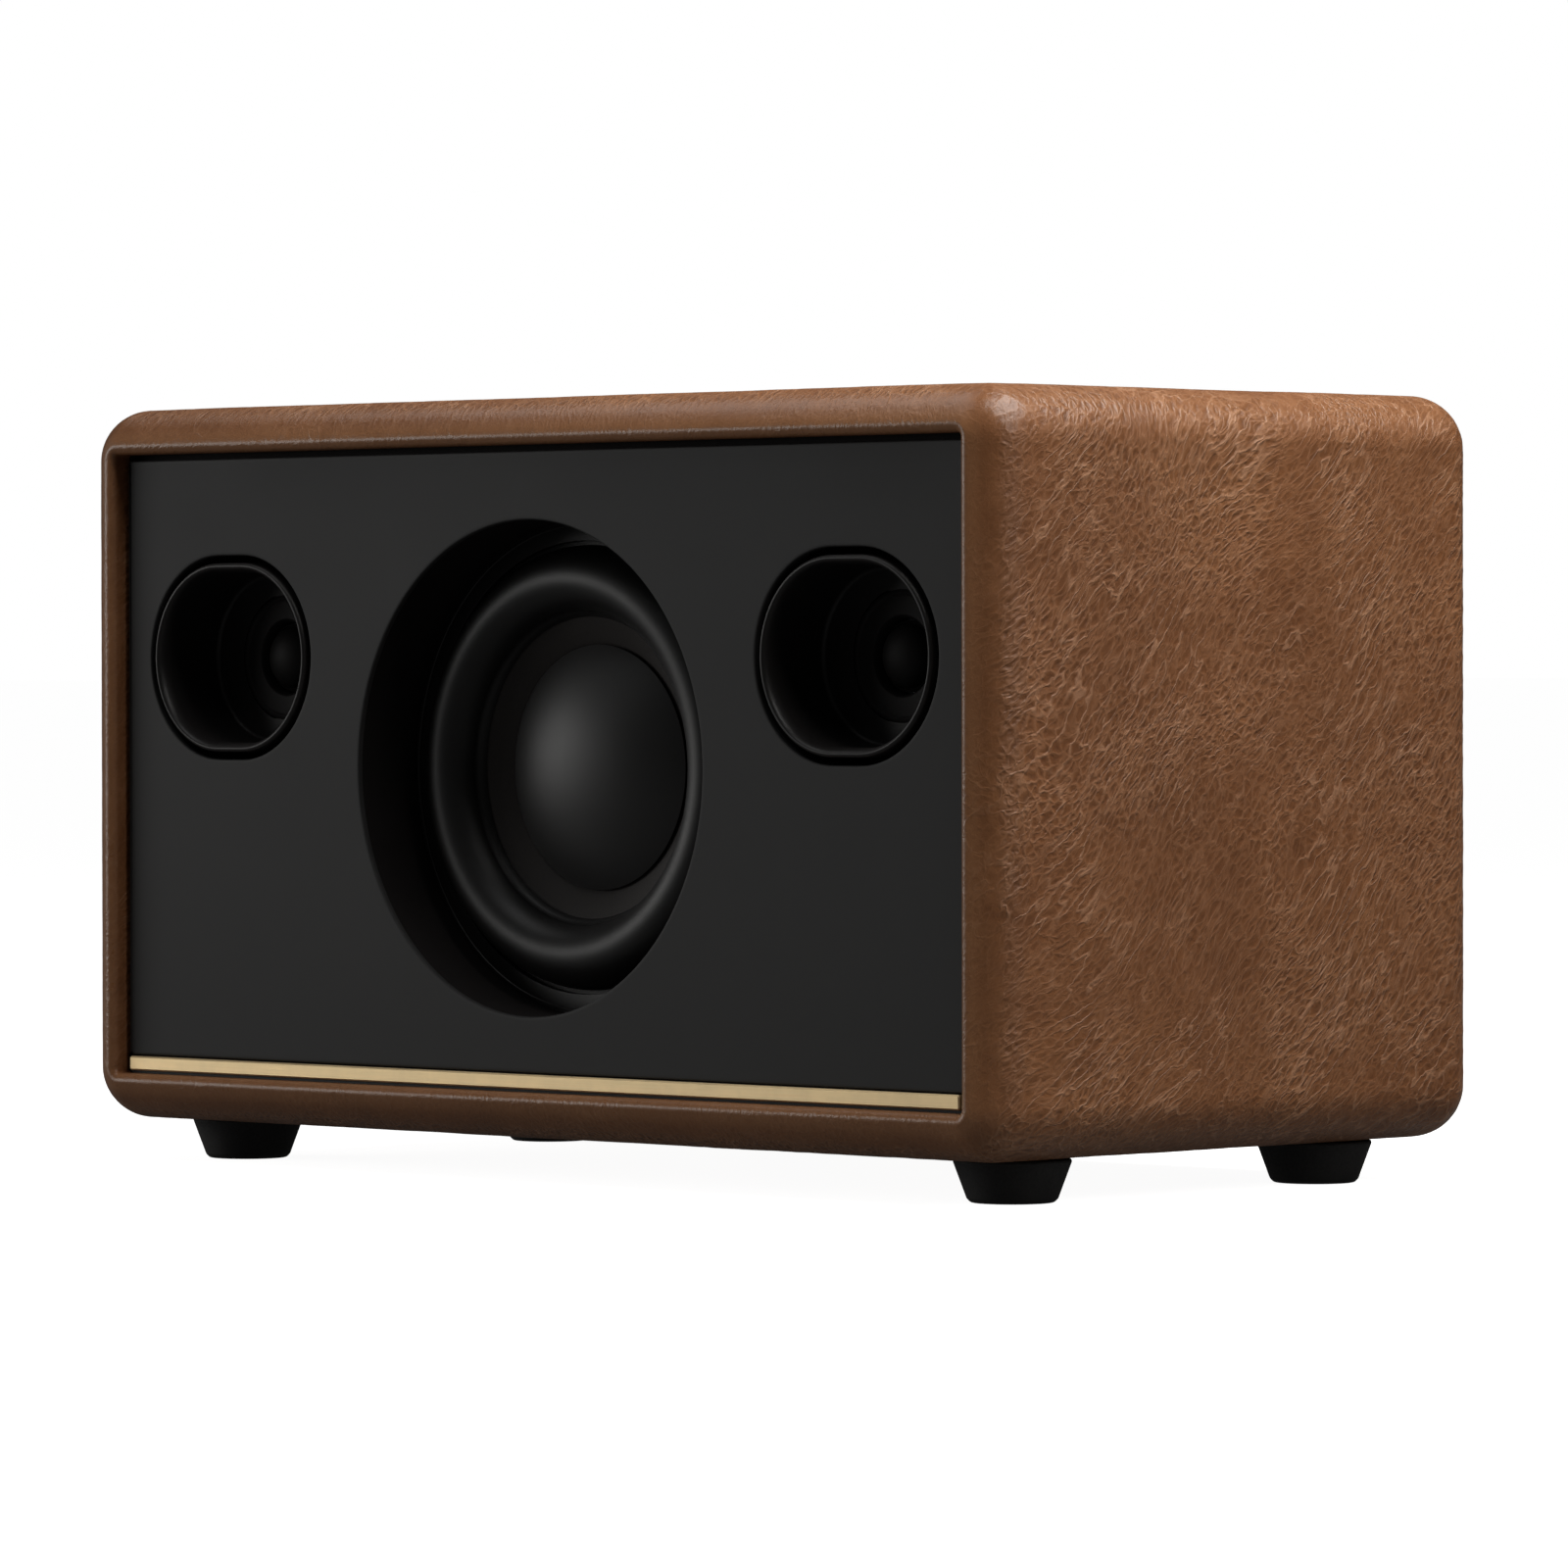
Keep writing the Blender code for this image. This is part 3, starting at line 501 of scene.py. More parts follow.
def plain_metal(name, colour, rough, turned_axis=None, centre=(0, 0, 0)):
    t = Mat(name, colour, rough, 1.0)
    n = t.noise(t.mm, 1.6, 3.0, 0.6)
    fine = t.noise(t.mm, 9.0, 2.0)
    t.colour(t.ramp(n, [(0.3, tuple(c * 0.8 for c in colour)), (0.7, tuple(min(1, c * 1.15) for c in colour))]))
    t.rough(t.span(fine, 0.3, 0.7, rough - 0.05, rough + 0.09))
    t.bump(fine, 0.01, 0.5)
    return t.m


def rubber(name, colour=(0.0055, 0.0049, 0.0047), rough=0.66):
    t = Mat(name, colour, rough)
    n = t.noise(t.mm, 1.8, 3.0, 0.65)
    dust = t.noise(t.mm, 0.25, 3.0, 0.6)
    t.colour(t.ramp(dust, [(0.4, colour), (0.8, tuple(c * 1.9 for c in colour))]))
    t.rough(t.span(n, 0.3, 0.7, rough - 0.06, rough + 0.1))
    t.bump(n, 0.03, 0.6)
    return t.m


def simple(name, colour, rough=0.5, metal=0.0, scale=0.8):
    t = Mat(name, colour, rough, metal)
    n = t.noise(t.mm, scale, 3.0, 0.6)
    t.colour(t.ramp(n, [(0.3, tuple(c * 0.75 for c in colour)), (0.7, tuple(min(1.0, c * 1.2) for c in colour))]))
    t.rough(t.span(n, 0.3, 0.7, max(0.05, rough - 0.07), min(1.0, rough + 0.08)))
    t.bump(n, 0.03, 0.5)
    return t.m


LEATHER = leather_material()
BAFFLE = satin_black("baffle_black", (0.0245, 0.0245, 0.0247), 0.55, 0.02, 4.0, Specular_IOR_Level=0.20)
GLOSS = satin_black("horn_gloss", (0.0125, 0.0112, 0.0112), 0.42, 0.006, 2.0, Specular_IOR_Level=0.28)
PLATE_DARK = satin_black("tweeter_plate_dark", (0.0150, 0.0135, 0.0135), 0.52, 0.01, 2.0, Specular_IOR_Level=0.10)
DOME_DARK = satin_black("tweeter_dome_silk", (0.0110, 0.0100, 0.0098), 0.55, 0.02, 3.0, Specular_IOR_Level=0.12)
CONE = satin_black("cone_pulp", (0.030, 0.0265, 0.0250), 0.62, 0.05, 2.4, Specular_IOR_Level=0.25)
CAP = satin_black("dust_cap_satin", (0.0165, 0.0160, 0.0160), 0.50, 0.012, 5.0, Specular_IOR_Level=0.55)
SURROUND = satin_black("surround_rubber", (0.0062, 0.0058, 0.0058), 0.46, 0.012, 3.0, Specular_IOR_Level=0.36)
TRAY = textured_black("tray_plastic", (0.016, 0.016, 0.016), 0.5, 2.2, 0.05)
REAR = textured_black("rear_plastic", (0.020, 0.020, 0.020), 0.55, 1.4, 0.10)
# the board's recessed faces in a darker, flatter black than its satin front: its own black, darkened further as painted
# shade in the gap and the openings
RECESS_SHADE_BLACK = satin_black("recess_shade_black", (0.0110, 0.0095, 0.0095), 0.75, 0.03, 2.0, Specular_IOR_Level=0.08)
PORT = satin_black("port_plastic", (0.014, 0.014, 0.014), 0.45, 0.03, 2.0)
BRASS_X = brushed_brass("brass_strip_brushed", "X", (0.82, 0.64, 0.37), 0.46, 0.85)
BRASS_PLATE = brushed_brass("brass_plate_brushed", "X", (0.56, 0.43, 0.25), 0.38)
BRASS_TURNED = plain_metal("brass_turned", (0.58, 0.44, 0.24), 0.28)
STEEL = plain_metal("zinc_steel", (0.42, 0.42, 0.43), 0.36)
BLACK_STEEL = plain_metal("black_oxide", (0.05, 0.05, 0.052), 0.38)
NICKEL = plain_metal("nickel", (0.55, 0.54, 0.51), 0.26)
FOOT = rubber("foot_rubber")
MARK = satin_black("mark_paint", (0.012, 0.011, 0.010), 0.5, 0.005, 6.0)
WOOD = simple("raw_board", (0.40, 0.28, 0.16), 0.8, 0.0, 0.35)
FERRITE = simple("ferrite", (0.05, 0.05, 0.055), 0.6)
BOARD = simple("printed_board", (0.03, 0.13, 0.05), 0.4, 0.0, 1.2)
ANOD = simple("black_anodised", (0.03, 0.03, 0.032), 0.4, 0.8)
WRAP = simple("battery_wrap", (0.02, 0.07, 0.22), 0.35)
COPPER = simple("copper_coil", (0.70, 0.36, 0.18), 0.35, 0.9, 3.0)
CLOTH = simple("spider_cloth", (0.50, 0.38, 0.16), 0.85, 0.0, 2.5)
LENS = Mat("lens_red", (0.42, 0.035, 0.02), 0.12, Coat_Weight=0.6)
LENS.rough(LENS.span(LENS.noise(LENS.mm, 3.0), 0.3, 0.7, 0.08, 0.18))
LENS.colour(LENS.ramp(LENS.noise(LENS.mm, 0.8), [(0.3, (0.34, 0.025, 0.015)), (0.7, (0.50, 0.05, 0.03))]))
LENS = LENS.m


# ------------------------------------------------------------ leather cover
C1 = (EDGE_R, -DEPTH / 2 + EDGE_R)
C2_I = RIM - LIP_R
C2 = (C2_I, C1[1] - math.sqrt((EDGE_R - LIP_R) ** 2 - (EDGE_R - C2_I) ** 2))
MEET = math.atan2(C1[1] - C2[1], C1[0] - C2[0])


def leather_cover():
    """The cover's whole outer face as one grid: rows run from the front recess
    over the rim and the sides to the rear recess, columns run round the box."""
    half = [(RIM, BAFFLE_SEAT - 0.3 - 0.8 * k, 0.5) for k in range(0, 5) if BAFFLE_SEAT - 0.3 - 0.8 * k > C2[1] + 0.3]
    n_lip, n_edge = 8, 16
    for k in range(n_lip):
        a = math.pi + (MEET - math.pi) * k / n_lip
        half.append((C2[0] - LIP_R * math.cos(a), C2[1] - LIP_R * math.sin(a), 0.5 + (k / n_lip) * (EDGE_R - C2_I - 0.5)))
    for k in range(n_edge + 1):
        a = MEET * (1 - k / n_edge)
        i = C1[0] - EDGE_R * math.cos(a)
        half.append((i, C1[1] - EDGE_R * math.sin(a), EDGE_R - i))
    side_n = 210
    y0 = C1[1]
    side = [(0.0, y0 - 2 * y0 * k / side_n, EDGE_R) for k in range(1, side_n)]
    rows = half + side + [(i, -y, rc) for i, y, rc in reversed(half)]
    # columns: straight runs between corner arcs, finest where they are seen most
    n_c = 18
    runs = {0: 330, 1: 120, 2: 220, 3: 230}  # top, left, bottom, right
    grid, corner_w = [], []
    for i, y, rc in rows:
        hx, hz = WIDTH / 2 - i, BOX_H / 2 - i
        ring = []
        for q, (sx, sz) in enumerate(((1, 1), (-1, 1), (-1, -1), (1, -1))):
            arc = []
            for k in range(n_c + 1):
                a = math.pi / 2 * (q + k / n_c)
                arc.append((sx * (hx - rc) + rc * math.cos(a), sz * (hz - rc) + rc * math.sin(a)))
            ring += arc
            q2 = (q + 1) % 4
            sx2, sz2 = ((1, 1), (-1, 1), (-1, -1), (1, -1))[q2]
            a2 = math.pi / 2 * q2
            nxt = (sx2 * (hx - rc) + rc * math.cos(a2), sz2 * (hz - rc) + rc * math.sin(a2))
            m = runs[q]
            for k in range(1, m):
                t = k / m
                ring.append((arc[-1][0] * (1 - t) + nxt[0] * t, arc[-1][1] * (1 - t) + nxt[1] * t))
        grid.append([(x, y, ZC + z) for x, z in ring])
    P = np.array(grid)  # rows, columns, xyz
    R, C, _ = P.shape
    du = np.empty_like(P)
    du[1:-1] = P[2:] - P[:-2]
    du[0] = P[1] - P[0]
    du[-1] = P[-1] - P[-2]
    dv = np.roll(P, -1, axis=1) - np.roll(P, 1, axis=1)
    N = np.cross(du, dv)
    N /= np.linalg.norm(N, axis=2)[:, :, None] + 1e-12
    flip = np.sign((N[R // 2] * (P[R // 2] - np.array([0, 0, ZC]))).sum())
    N *= flip
    pts = P.reshape(-1, 3)
    nrm = N.reshape(-1, 3)
    inset = np.repeat(np.array([r[0] for r in rows]), C)
    x, y, z = pts.T

    n1, n2, n3, n4, n5 = (Noise(s) for s in (3, 11, 29, 41, 57))
    warp = np.stack([n1(pts / 17.0), n2(pts / 17.0 + 7.3), n3(pts / 17.0 - 4.1)], axis=1)
    swirl = np.stack([n2(pts / 46.0 + 1.7), n3(pts / 46.0 + 9.1), n1(pts / 46.0 + 3.9)], axis=1)
    q = pts + warp * 3.2 + swirl * 9.0
    # crease direction: on the sides up and back, on the top and bottom slanting,
    # on the front rim across it
    ax = np.abs(nrm)
    lean = math.radians(43.0)
    along_side = np.array([0.0, math.cos(lean), math.sin(lean)])
    across_side = np.array([0.0, -math.sin(lean), math.cos(lean)])
    along_top = np.array([0.62, 0.785, 0.0])
    across_top = np.array([0.785, -0.62, 0.0])
    along_rim = np.array([0.5, 0.0, 0.866])
    across_rim = np.array([0.866, 0.0, -0.5])

    def crease(al, ac, third, noise_a, noise_b):
        s, c, t = q @ al, q @ ac, q @ third
        # long soft folds and shorter, tighter ones
        a = noise_a(np.stack([s / 6.5, c / 3.4, t / 7.0], axis=1))
        b = noise_b(np.stack([s / 2.4, c / 1.7, t / 5.0], axis=1) + 3.7)
        soft = 0.5 + 0.5 * np.clip(a * 1.7, -1, 1)
        soft2 = 0.5 + 0.5 * np.clip(b * 1.7, -1, 1)
        return 0.62 * soft + 0.38 * np.exp(-((a * 2.6) ** 2)), 0.75 * soft2 + 0.25 * np.exp(-((b * 2.4) ** 2))

    ex, ey, ez = np.array([1.0, 0, 0]), np.array([0, 1.0, 0]), np.array([0, 0, 1.0])
    cs = crease(along_side, across_side, ex, n4, n5)
    ct = crease(along_top, across_top, ez, n5, n4)
    cf = crease(along_rim, across_rim, ey, n4, n1)
    wx, wy, wz = ax[:, 0] ** 3, ax[:, 1] ** 3, ax[:, 2] ** 3
    ws = wx + wy + wz + 1e-9
    long_ = (cs[0] * wx + cf[0] * wy + ct[0] * wz) / ws
    short = (cs[1] * wx + cf[1] * wy + ct[1] * wz) / ws
    # some areas are creased and some stay smooth
    area = np.clip(0.62 + 0.95 * n3(pts / 34.0 + 5.0), 0.12, 1.0)
    area2 = np.clip(0.55 + 0.95 * n2(pts / 27.0 - 8.0), 0.10, 1.0)
    low = n1(pts / 21.0 + 2.2) * 0.5 + n2(pts / 11.0) * 0.25
    # the skin gathers into short folds where it bends round the upright edges
    bend = np.clip(1.0 - np.abs(ax[:, 0] - 0.80) / 0.24, 0, 1) * (ax[:, 2] < 0.6)
    gather = 1.0 - np.abs(n5(np.stack([(z + 0.55 * y) / 3.4, y / 6.5, x / 9.0], axis=1))) * 2.0
    gather = np.clip(gather, 0, 1) ** 1.3
    # the rounded edges are rubbed smoother than the flat faces
    worn = np.clip((1.0 - ax.max(axis=1)) / 0.22, 0, 1)
    worn = np.maximum(worn, np.clip((np.abs(y) - 69.2) / 0.8, 0, 1))
    relief = 0.58 * long_ * area + 0.42 * short * area2
    height = 0.12 * (relief - 0.42) + 0.12 * low + 0.12 * bend * (gather - 0.5)
    # pulled tight over the rim into the recess
    tight = np.clip((9.3 - inset) / 4.5, 0.0, 1.0) * 0.75 + 0.25
    tight = np.where(inset > 8.2, 0.12, tight)
    tight = tight * (1.0 - 0.75 * np.clip((np.abs(y) - 66.0) / 3.0, 0, 1))
    height = height * tight - 0.02
    # pressed down under the control well's flange
    dx = np.maximum(np.abs(x) - 80.0, 0)
    dy = np.maximum(np.abs(y - WELL_Y) - 27.0, 0)
    near = np.hypot(dx, dy)
    top = nrm[:, 2] > 0.9
    press = np.where(top, np.clip(near / 3.5, 0, 1), 1.0)
    height = height * press - (1 - press) * 0.18
    height = np.clip(height, -0.35, 0.28)
    out = pts + nrm * height[:, None]
    keep = ~(top & (np.abs(x) < 77.2) & (np.abs(y - WELL_Y) < 24.2))
    keep = keep.reshape(R, C)
    ids = np.arange(R * C).reshape(R, C)
    a, b = ids[:-1], np.roll(ids, -1, axis=1)[:-1]
    c_, d = np.roll(ids, -1, axis=1)[1:], ids[1:]
    ok = (keep[:-1] | keep[1:] | np.roll(keep, -1, axis=1)[:-1] | np.roll(keep, -1, axis=1)[1:]).ravel()
    quads = np.stack([a, b, c_, d], axis=-1).reshape(-1, 4)[ok]
    if flip * 1.0 < 0:
        quads = quads[:, ::-1]
    me = bpy.data.meshes.new("leather_skin")
    me.vertices.add(len(out))
    me.vertices.foreach_set("co", (out * MM).astype(np.float32).ravel())
    me.loops.add(len(quads) * 4)
    me.loops.foreach_set("vertex_index", quads.astype(np.int32).ravel())
    me.polygons.add(len(quads))
    me.polygons.foreach_set("loop_start", np.arange(0, len(quads) * 4, 4, dtype=np.int32))
    me.polygons.foreach_set("loop_total", np.full(len(quads), 4, dtype=np.int32))
    me.update(calc_edges=True)
    me.validate()
    # the relief attribute carries painted shade for the crease valleys and a painted highlight for the ridges and
    # gathers
    at = me.attributes.new("relief", "FLOAT", "POINT")
    tone = relief * 0.85 + 0.25 * bend * gather + 0.12
    at.data.foreach_set("value", np.clip(tone, 0, 1).astype(np.float32))
    at = me.attributes.new("worn", "FLOAT", "POINT")
    at.data.foreach_set("value", worn.astype(np.float32))
    # stretched smooth where it is pulled over the front and rear rims; the same mask lays a painted highlight along the
    # rim lips
    at = me.attributes.new("taut_and_lip_highlight", "FLOAT", "POINT")
    at.data.foreach_set("value", np.clip((np.abs(y) - 65.6) / 4.8, 0, 1).astype(np.float32))
    bm = bmesh.new()
    bm.from_mesh(me)
    bmesh.ops.delete(bm, geom=[v for v in bm.verts if not v.link_faces], context="VERTS")
    bmesh.ops.recalc_face_normals(bm, faces=bm.faces)
    outward = sum((f.normal.x * f.calc_center_median().x) for f in list(bm.faces)[::997])
    if outward < 0:
        bmesh.ops.reverse_faces(bm, faces=bm.faces)
    bm.to_mesh(me)
    bm.free()
    me.materials.append(LEATHER)
    me.shade_smooth()
    ob = bpy.data.objects.new("leather_skin", me)
    bpy.context.scene.collection.objects.link(ob)
    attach(ob, BODY)
    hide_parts("leather_cover")
    return ob


leather_cover()

# ------------------------------------------------------------------- baffle
def baffle():
    """Board with three soft-edged openings and a groove for the strip."""
    def move(o, c):
        return [(u + c[0], v + c[1]) for u, v in o]

    outer = [(u, ZC + v) for u, v in round_rect(WIDTH / 2 - RIM - 1.2, BOX_H / 2 - RIM - 1.2, 0.5, 3)]
    groove = [(u, 20.15 + v) for u, v in round_rect(118.6, 1.75, 0.2, 1)]
    holes = [
        (circle(49.0, 160), (0.0, ZC)),
        (obround(48.7, 41.6), TW[0]),
        (obround(48.7, 41.6), TW[1]),
        (groove, (0.0, 0.0)),
    ]
    flat_plate("baffle_board", outer, holes, BAFFLE_FRONT, BAFFLE_FRONT + 1.0, "Y", BAFFLE, BODY, ("front_baffle",), "black_board", edge=0.35)
    # the body of the board behind its raised face, in the darker recess black: painted shade in the rebate gap and the
    # hole walls
    back = [(u, ZC + v) for u, v in round_rect(121.7, 65.0, 0.4, 2)]
    flat_plate("baffle_back", back, holes[:3], BAFFLE_SEAT, BAFFLE_REAR, "Y", RECESS_SHADE_BLACK, BODY, ("front_baffle",), "black_board", edge=0.02)
    # the step round the raised face, also in the darker recess black as painted shade
    neck = [(u, ZC + v) for u, v in round_rect(WIDTH / 2 - RIM - 1.2, BOX_H / 2 - RIM - 1.2, 0.5, 3)]
    flat_plate("baffle_step", neck, holes[:3], BAFFLE_FRONT + 1.0, BAFFLE_SEAT, "Y", RECESS_SHADE_BLACK, BODY, ("front_baffle",), "black_board", edge=0.02)


baffle()
NODES["brass_strip"].data.materials.clear()
NODES["brass_strip"].data.materials.append(BRASS_X)

# ------------------------------------------------------------------- horns
for (cx, cz), word in zip(TW, ("left", "right")):
    fl = BAFFLE_REAR + 0.3

    def ob_ring(w, h, y):
        return at_y(obround(w, h), y, cx, cz)

    yf = BAFFLE_FRONT - 0.45
    prof = [(7.5, fl - 0.2), (1.85, fl - 0.2, 1.0), (1.85, yf + 3.2)]
    # a soft flare from the bore over the lip, then its outer side
    prof += [(0.70 + 1.15 * math.cos(math.radians(q)), yf + 3.0 - 3.0 * math.sin(math.radians(q))) for q in range(9, 91, 9)]
    prof += [(0.70 - 0.70 * math.sin(math.radians(q)), yf + 0.8 - 0.8 * math.cos(math.radians(q))) for q in range(15, 91, 15)]
    prof += [(0.0, fl, 0.0), (-4.35, fl), (-4.35, fl + 2.0), (7.5, fl + 2.0)]
    prof = rounded(prof, False, 6)
    rings = [ob_ring(46.0 - 2 * g, 38.6 - 2 * g, y) for g, y in prof]
    # the floor's round throat
    n = len(rings[0])
    ang = [math.atan2(p[2] - cz, p[0] - cx) for p in rings[0]]
    front = [(cx + 13.1 * math.cos(a), fl - 0.2, cz + 13.1 * math.sin(a)) for a in ang]
    back = [(cx + 13.1 * math.cos(a), fl + 2.0, cz + 13.1 * math.sin(a)) for a in ang]
    rings = [front] + rings + [back]
    mesh_piece(f"horn_{word}", *loft(rings, closed=True), GLOSS, BODY, (f"waveguide_{word}",), "gloss_black", sharp=50)
    turned(
        f"tweeter_face_{word}",
        [(7.4, -50.7), (7.9, -51.4, 0.3), (11.6, -51.4, 0.25), (12.1, -51.75, 0.25), (12.85, -51.55, 0.25), (12.85, -48.7), (16.5, -48.7), (16.5, -47.2), (7.4, -47.2)],
        "Y", (cx, cz), 96, PLATE_DARK, BODY, (f"tweeter_plate_{word}",), "gloss_black",
    )
    dome = [(0.0, -53.2)] + [(6.2 * math.sin(a), -49.55 - 3.65 * math.cos(a)) for a in [math.radians(9 * k) for k in range(1, 10)]]
    dome += [(6.25, -49.5), (6.55, -49.85), (6.9, -49.5), (6.9, -48.6), (6.2, -48.6), (6.2, -44.6), (5.7, -44.6), (5.7, -49.2), (0.0, -52.4)]
    turned(f"tweeter_cap_{word}", dome, "Y", (cx, cz), 72, DOME_DARK, f"tweeter_{word}_motor", (f"tweeter_dome_{word}",), "paper_cone")

# ------------------------------------------------------------------ woofer
WC = (0.0, ZC)


def arc(cx, cy, r, a0, a1, n):
    return [(cx + r * math.cos(math.radians(a0 + (a1 - a0) * k / n)), cy + r * math.sin(math.radians(a0 + (a1 - a0) * k / n))) for k in range(n + 1)]


turned(
    "driver_gasket",
    [(45.0, -51.1), (45.0, -51.3, 0.12), (48.0, -51.3), (48.15, -51.42), (48.5, -51.42), (48.65, -51.3), (51.6, -51.3, 0.2), (51.6, -50.1), (45.0, -50.1)],
    "Y", WC, 160, SURROUND, BODY, ("woofer_gasket",), "matte_black",
)
mid, half_w = 37.7, 6.5
ROLL_N = 28
front = [(mid - half_w * math.cos(math.pi * k / ROLL_N), -51.3 + 1.5 * k / ROLL_N - 6.4 * math.sin(math.pi * k / ROLL_N) ** 1.2) for k in range(ROLL_N + 1)]
back = [(mid - (half_w - 0.6) * math.cos(math.pi * k / ROLL_N), -50.7 + 1.5 * k / ROLL_N - 6.4 * math.sin(math.pi * k / ROLL_N) ** 1.2) for k in range(ROLL_N + 1)]
surround = [(30.0, -49.6), (30.25, -50.2), (30.7, -50.8)] + front + [(45.2, -49.8), (50.6, -49.8), (50.6, -49.2), (44.6, -49.2)] + back[::-1] + [(30.9, -50.2), (30.3, -49.5)]
# the half roll in sixteen arcs, each reaching from the gasket at its outer edge to the cone at its inner edge
ARCS, ARC_N = 16, 12
for k in range(ARCS):
    rings_s = []
    for q in range(ARC_N + 1):
        a = 2 * math.pi * (k + q / ARC_N) / ARCS
        rings_s.append([(r * math.cos(a), y, ZC + r * math.sin(a)) for r, y in surround])
    ob = mesh_piece(f"rubber_surround_{k + 1:02d}", *loft(rings_s), SURROUND, None, ("woofer_surround",), "rubber", sharp=50)
    a = 2 * math.pi * (k + 0.5) / ARCS
    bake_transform(ob)
cone = [(30.9, -49.7), (27.5, -48.05), (24.6, -46.4), (13.2, -40.4), (13.2, -39.6), (24.9, -45.6), (31.2, -48.9)]
turned("cone_body", cone, "Y", WC, 160, CONE, "woofer_motor", ("woofer_cone",), "paper_cone", sharp=50)
big = (24.4 ** 2 + 7.6 ** 2) / (2 * 7.6)
spread = math.asin(24.4 / big)
capf = [(big * math.sin(spread * k / 20), -54.7 + big * (1 - math.cos(spread * k / 20))) for k in range(21)]
capf[0] = (0.0, -54.7)
capb = [(max(0.0, r - (0.4 if k == 20 else 0.0)), y + 0.5) for k, (r, y) in enumerate(capf)]
turned("dust_cap", capf + capb[::-1], "Y", WC, 160, CAP, "woofer_motor", ("woofer_dust_cap",), "paper_cone", sharp=50)

# --------------------------------------------------------------- rear panel
flat_plate(
    "rear_board",
    [(121.7, ZC + 65.0), (-121.7, ZC + 65.0), (-121.7, ZC - 65.0), (121.7, ZC - 65.0)],
    [(circle(18.4, 96), PORT_AT), (round_rect(10.3, 6.3, 1.0, 4), INLET_AT), (circle(4.4, 48), AUX_AT)]
    + [(circle(1.9, 24), at) for at in SCREWS],
    REAR_FACE,
    REAR_FACE - 4.0,
    "Y",
    REAR,
    BODY,
    ("rear_panel",),
    "matte_black",
    edge=0.4,
)
flare = [(16.0, 10.0), (16.0, 52.0)] + [(16.0 + 6.6 * (1 - math.cos(a)), 52.0 + 16.2 * math.sin(a)) for a in [math.radians(6 * k) for k in range(1, 16)]]
flare += [(23.0, 68.25, 0.3), (23.6, 67.7, 0.3), (23.6, 66.9), (18.0, 66.9), (18.0, 10.0)]
turned("port_flare", flare, "Y", PORT_AT, 128, PORT, BODY, ("port_tube",), "matte_black", sharp=45)
turned(
    "aux_jack",
    [(1.8, 67.8), (2.1, 68.2, 0.2), (4.4, 68.2, 0.4), (5.4, 67.6, 0.3), (5.4, 66.9), (4.0, 66.9), (4.0, 60.0), (5.2, 60.0), (5.2, 50.0), (1.8, 50.0)],
    "Y", AUX_AT, 64, NICKEL, BODY, ("aux_socket",), "nickel",
)


def inlet():
    prof = [(6.0, 55.2), (0.0, 55.2), (0.0, 67.9), (-0.5, 68.35), (-0.6, 68.4)]
    # pocket outline is 16 x 7.8, flange 26 x 17.6, body 20 x 12
    rings = []
    for hx, hz, r, y in (
        (4.0, 1.6, 0.8, 55.0), (8.0, 3.9, 1.5, 55.0), (8.0, 3.9, 1.5, 67.9), (8.25, 4.15, 1.7, 68.3), (8.5, 4.4, 1.9, 68.4),
        (12.4, 8.2, 2.6, 68.4), (12.8, 8.6, 2.9, 68.2), (13.0, 8.8, 3.0, 67.8), (13.0, 8.8, 3.0, 66.9), (10.0, 6.0, 0.8, 66.9),
        (10.0, 6.0, 0.8, 50.0),
    ):
        rings.append(at_y(round_rect(hx, hz, r, 6), y, *INLET_AT))
    mesh_piece("inlet_housing", *loft(rings), PORT, BODY, ("power_inlet",), "matte_black", sharp=40)
    for s in (-1, 1):
        turned(
            f"inlet_pin_{'left' if s < 0 else 'right'}",
            [(0, 55.05), (1.1, 55.05), (1.1, 66.0, 0.5), (0, 66.0)], "Y", (INLET_AT[0] + s * 4.3, INLET_AT[1]), 32, NICKEL, BODY, (), "nickel",
        )


inlet()


def screw_head(name, at, y0, s, r, node, mat=BLACK_STEEL):
    """Pan head with a cross recess, on the screw's own shank."""
    prof = [(0, y0 + s * 2.0), (r * 0.62, y0 + s * 1.92), (r * 0.88, y0 + s * 1.55), (r, y0 + s * 0.8), (r, y0), (1.5, y0), (1.5, y0 - s * 10.0), (0, y0 - s * 12.0)]
    ob = turned(name, prof, "Y", at, 48, mat, BODY, (node,), "black_steel", sharp=40)
    for k, (w, h) in enumerate(((r * 1.15, 0.7), (0.7, r * 1.15))):
        o = [(w / 2, h / 2), (-w / 2, h / 2), (-w / 2, -h / 2), (w / 2, -h / 2)]
        ya, yb = y0 + s * 0.9, y0 + s * 3.0
        verts, faces = loft([at_y(o, ya, *at), at_y(o, yb, *at)])
        cme = bpy.data.meshes.new("cut")
        cme.from_pydata([tuple(c * MM for c in v) for v in verts], [], faces)
        bm = bmesh.new()
        bm.from_mesh(cme)
        bmesh.ops.recalc_face_normals(bm, faces=bm.faces)
        bm.to_mesh(cme)
        bm.free()
        cutter = bpy.data.objects.new("cut", cme)
        bpy.context.scene.collection.objects.link(cutter)
        m = ob.modifiers.new("cross", "BOOLEAN")
        m.operation = "DIFFERENCE"
        m.solver = "EXACT"
        m.object = cutter
        dg = bpy.context.evaluated_depsgraph_get()
        me = bpy.data.meshes.new_from_object(ob.evaluated_get(dg))
        ob.modifiers.clear()
        ob.data = me
        bpy.data.objects.remove(cutter, do_unlink=True)
    return ob


for k, at in enumerate(SCREWS):
    screw_head(f"rear_fixing_{k + 1}", at, REAR_FACE + 0.3, 1.0, 3.4, f"rear_screw_{k + 1}")

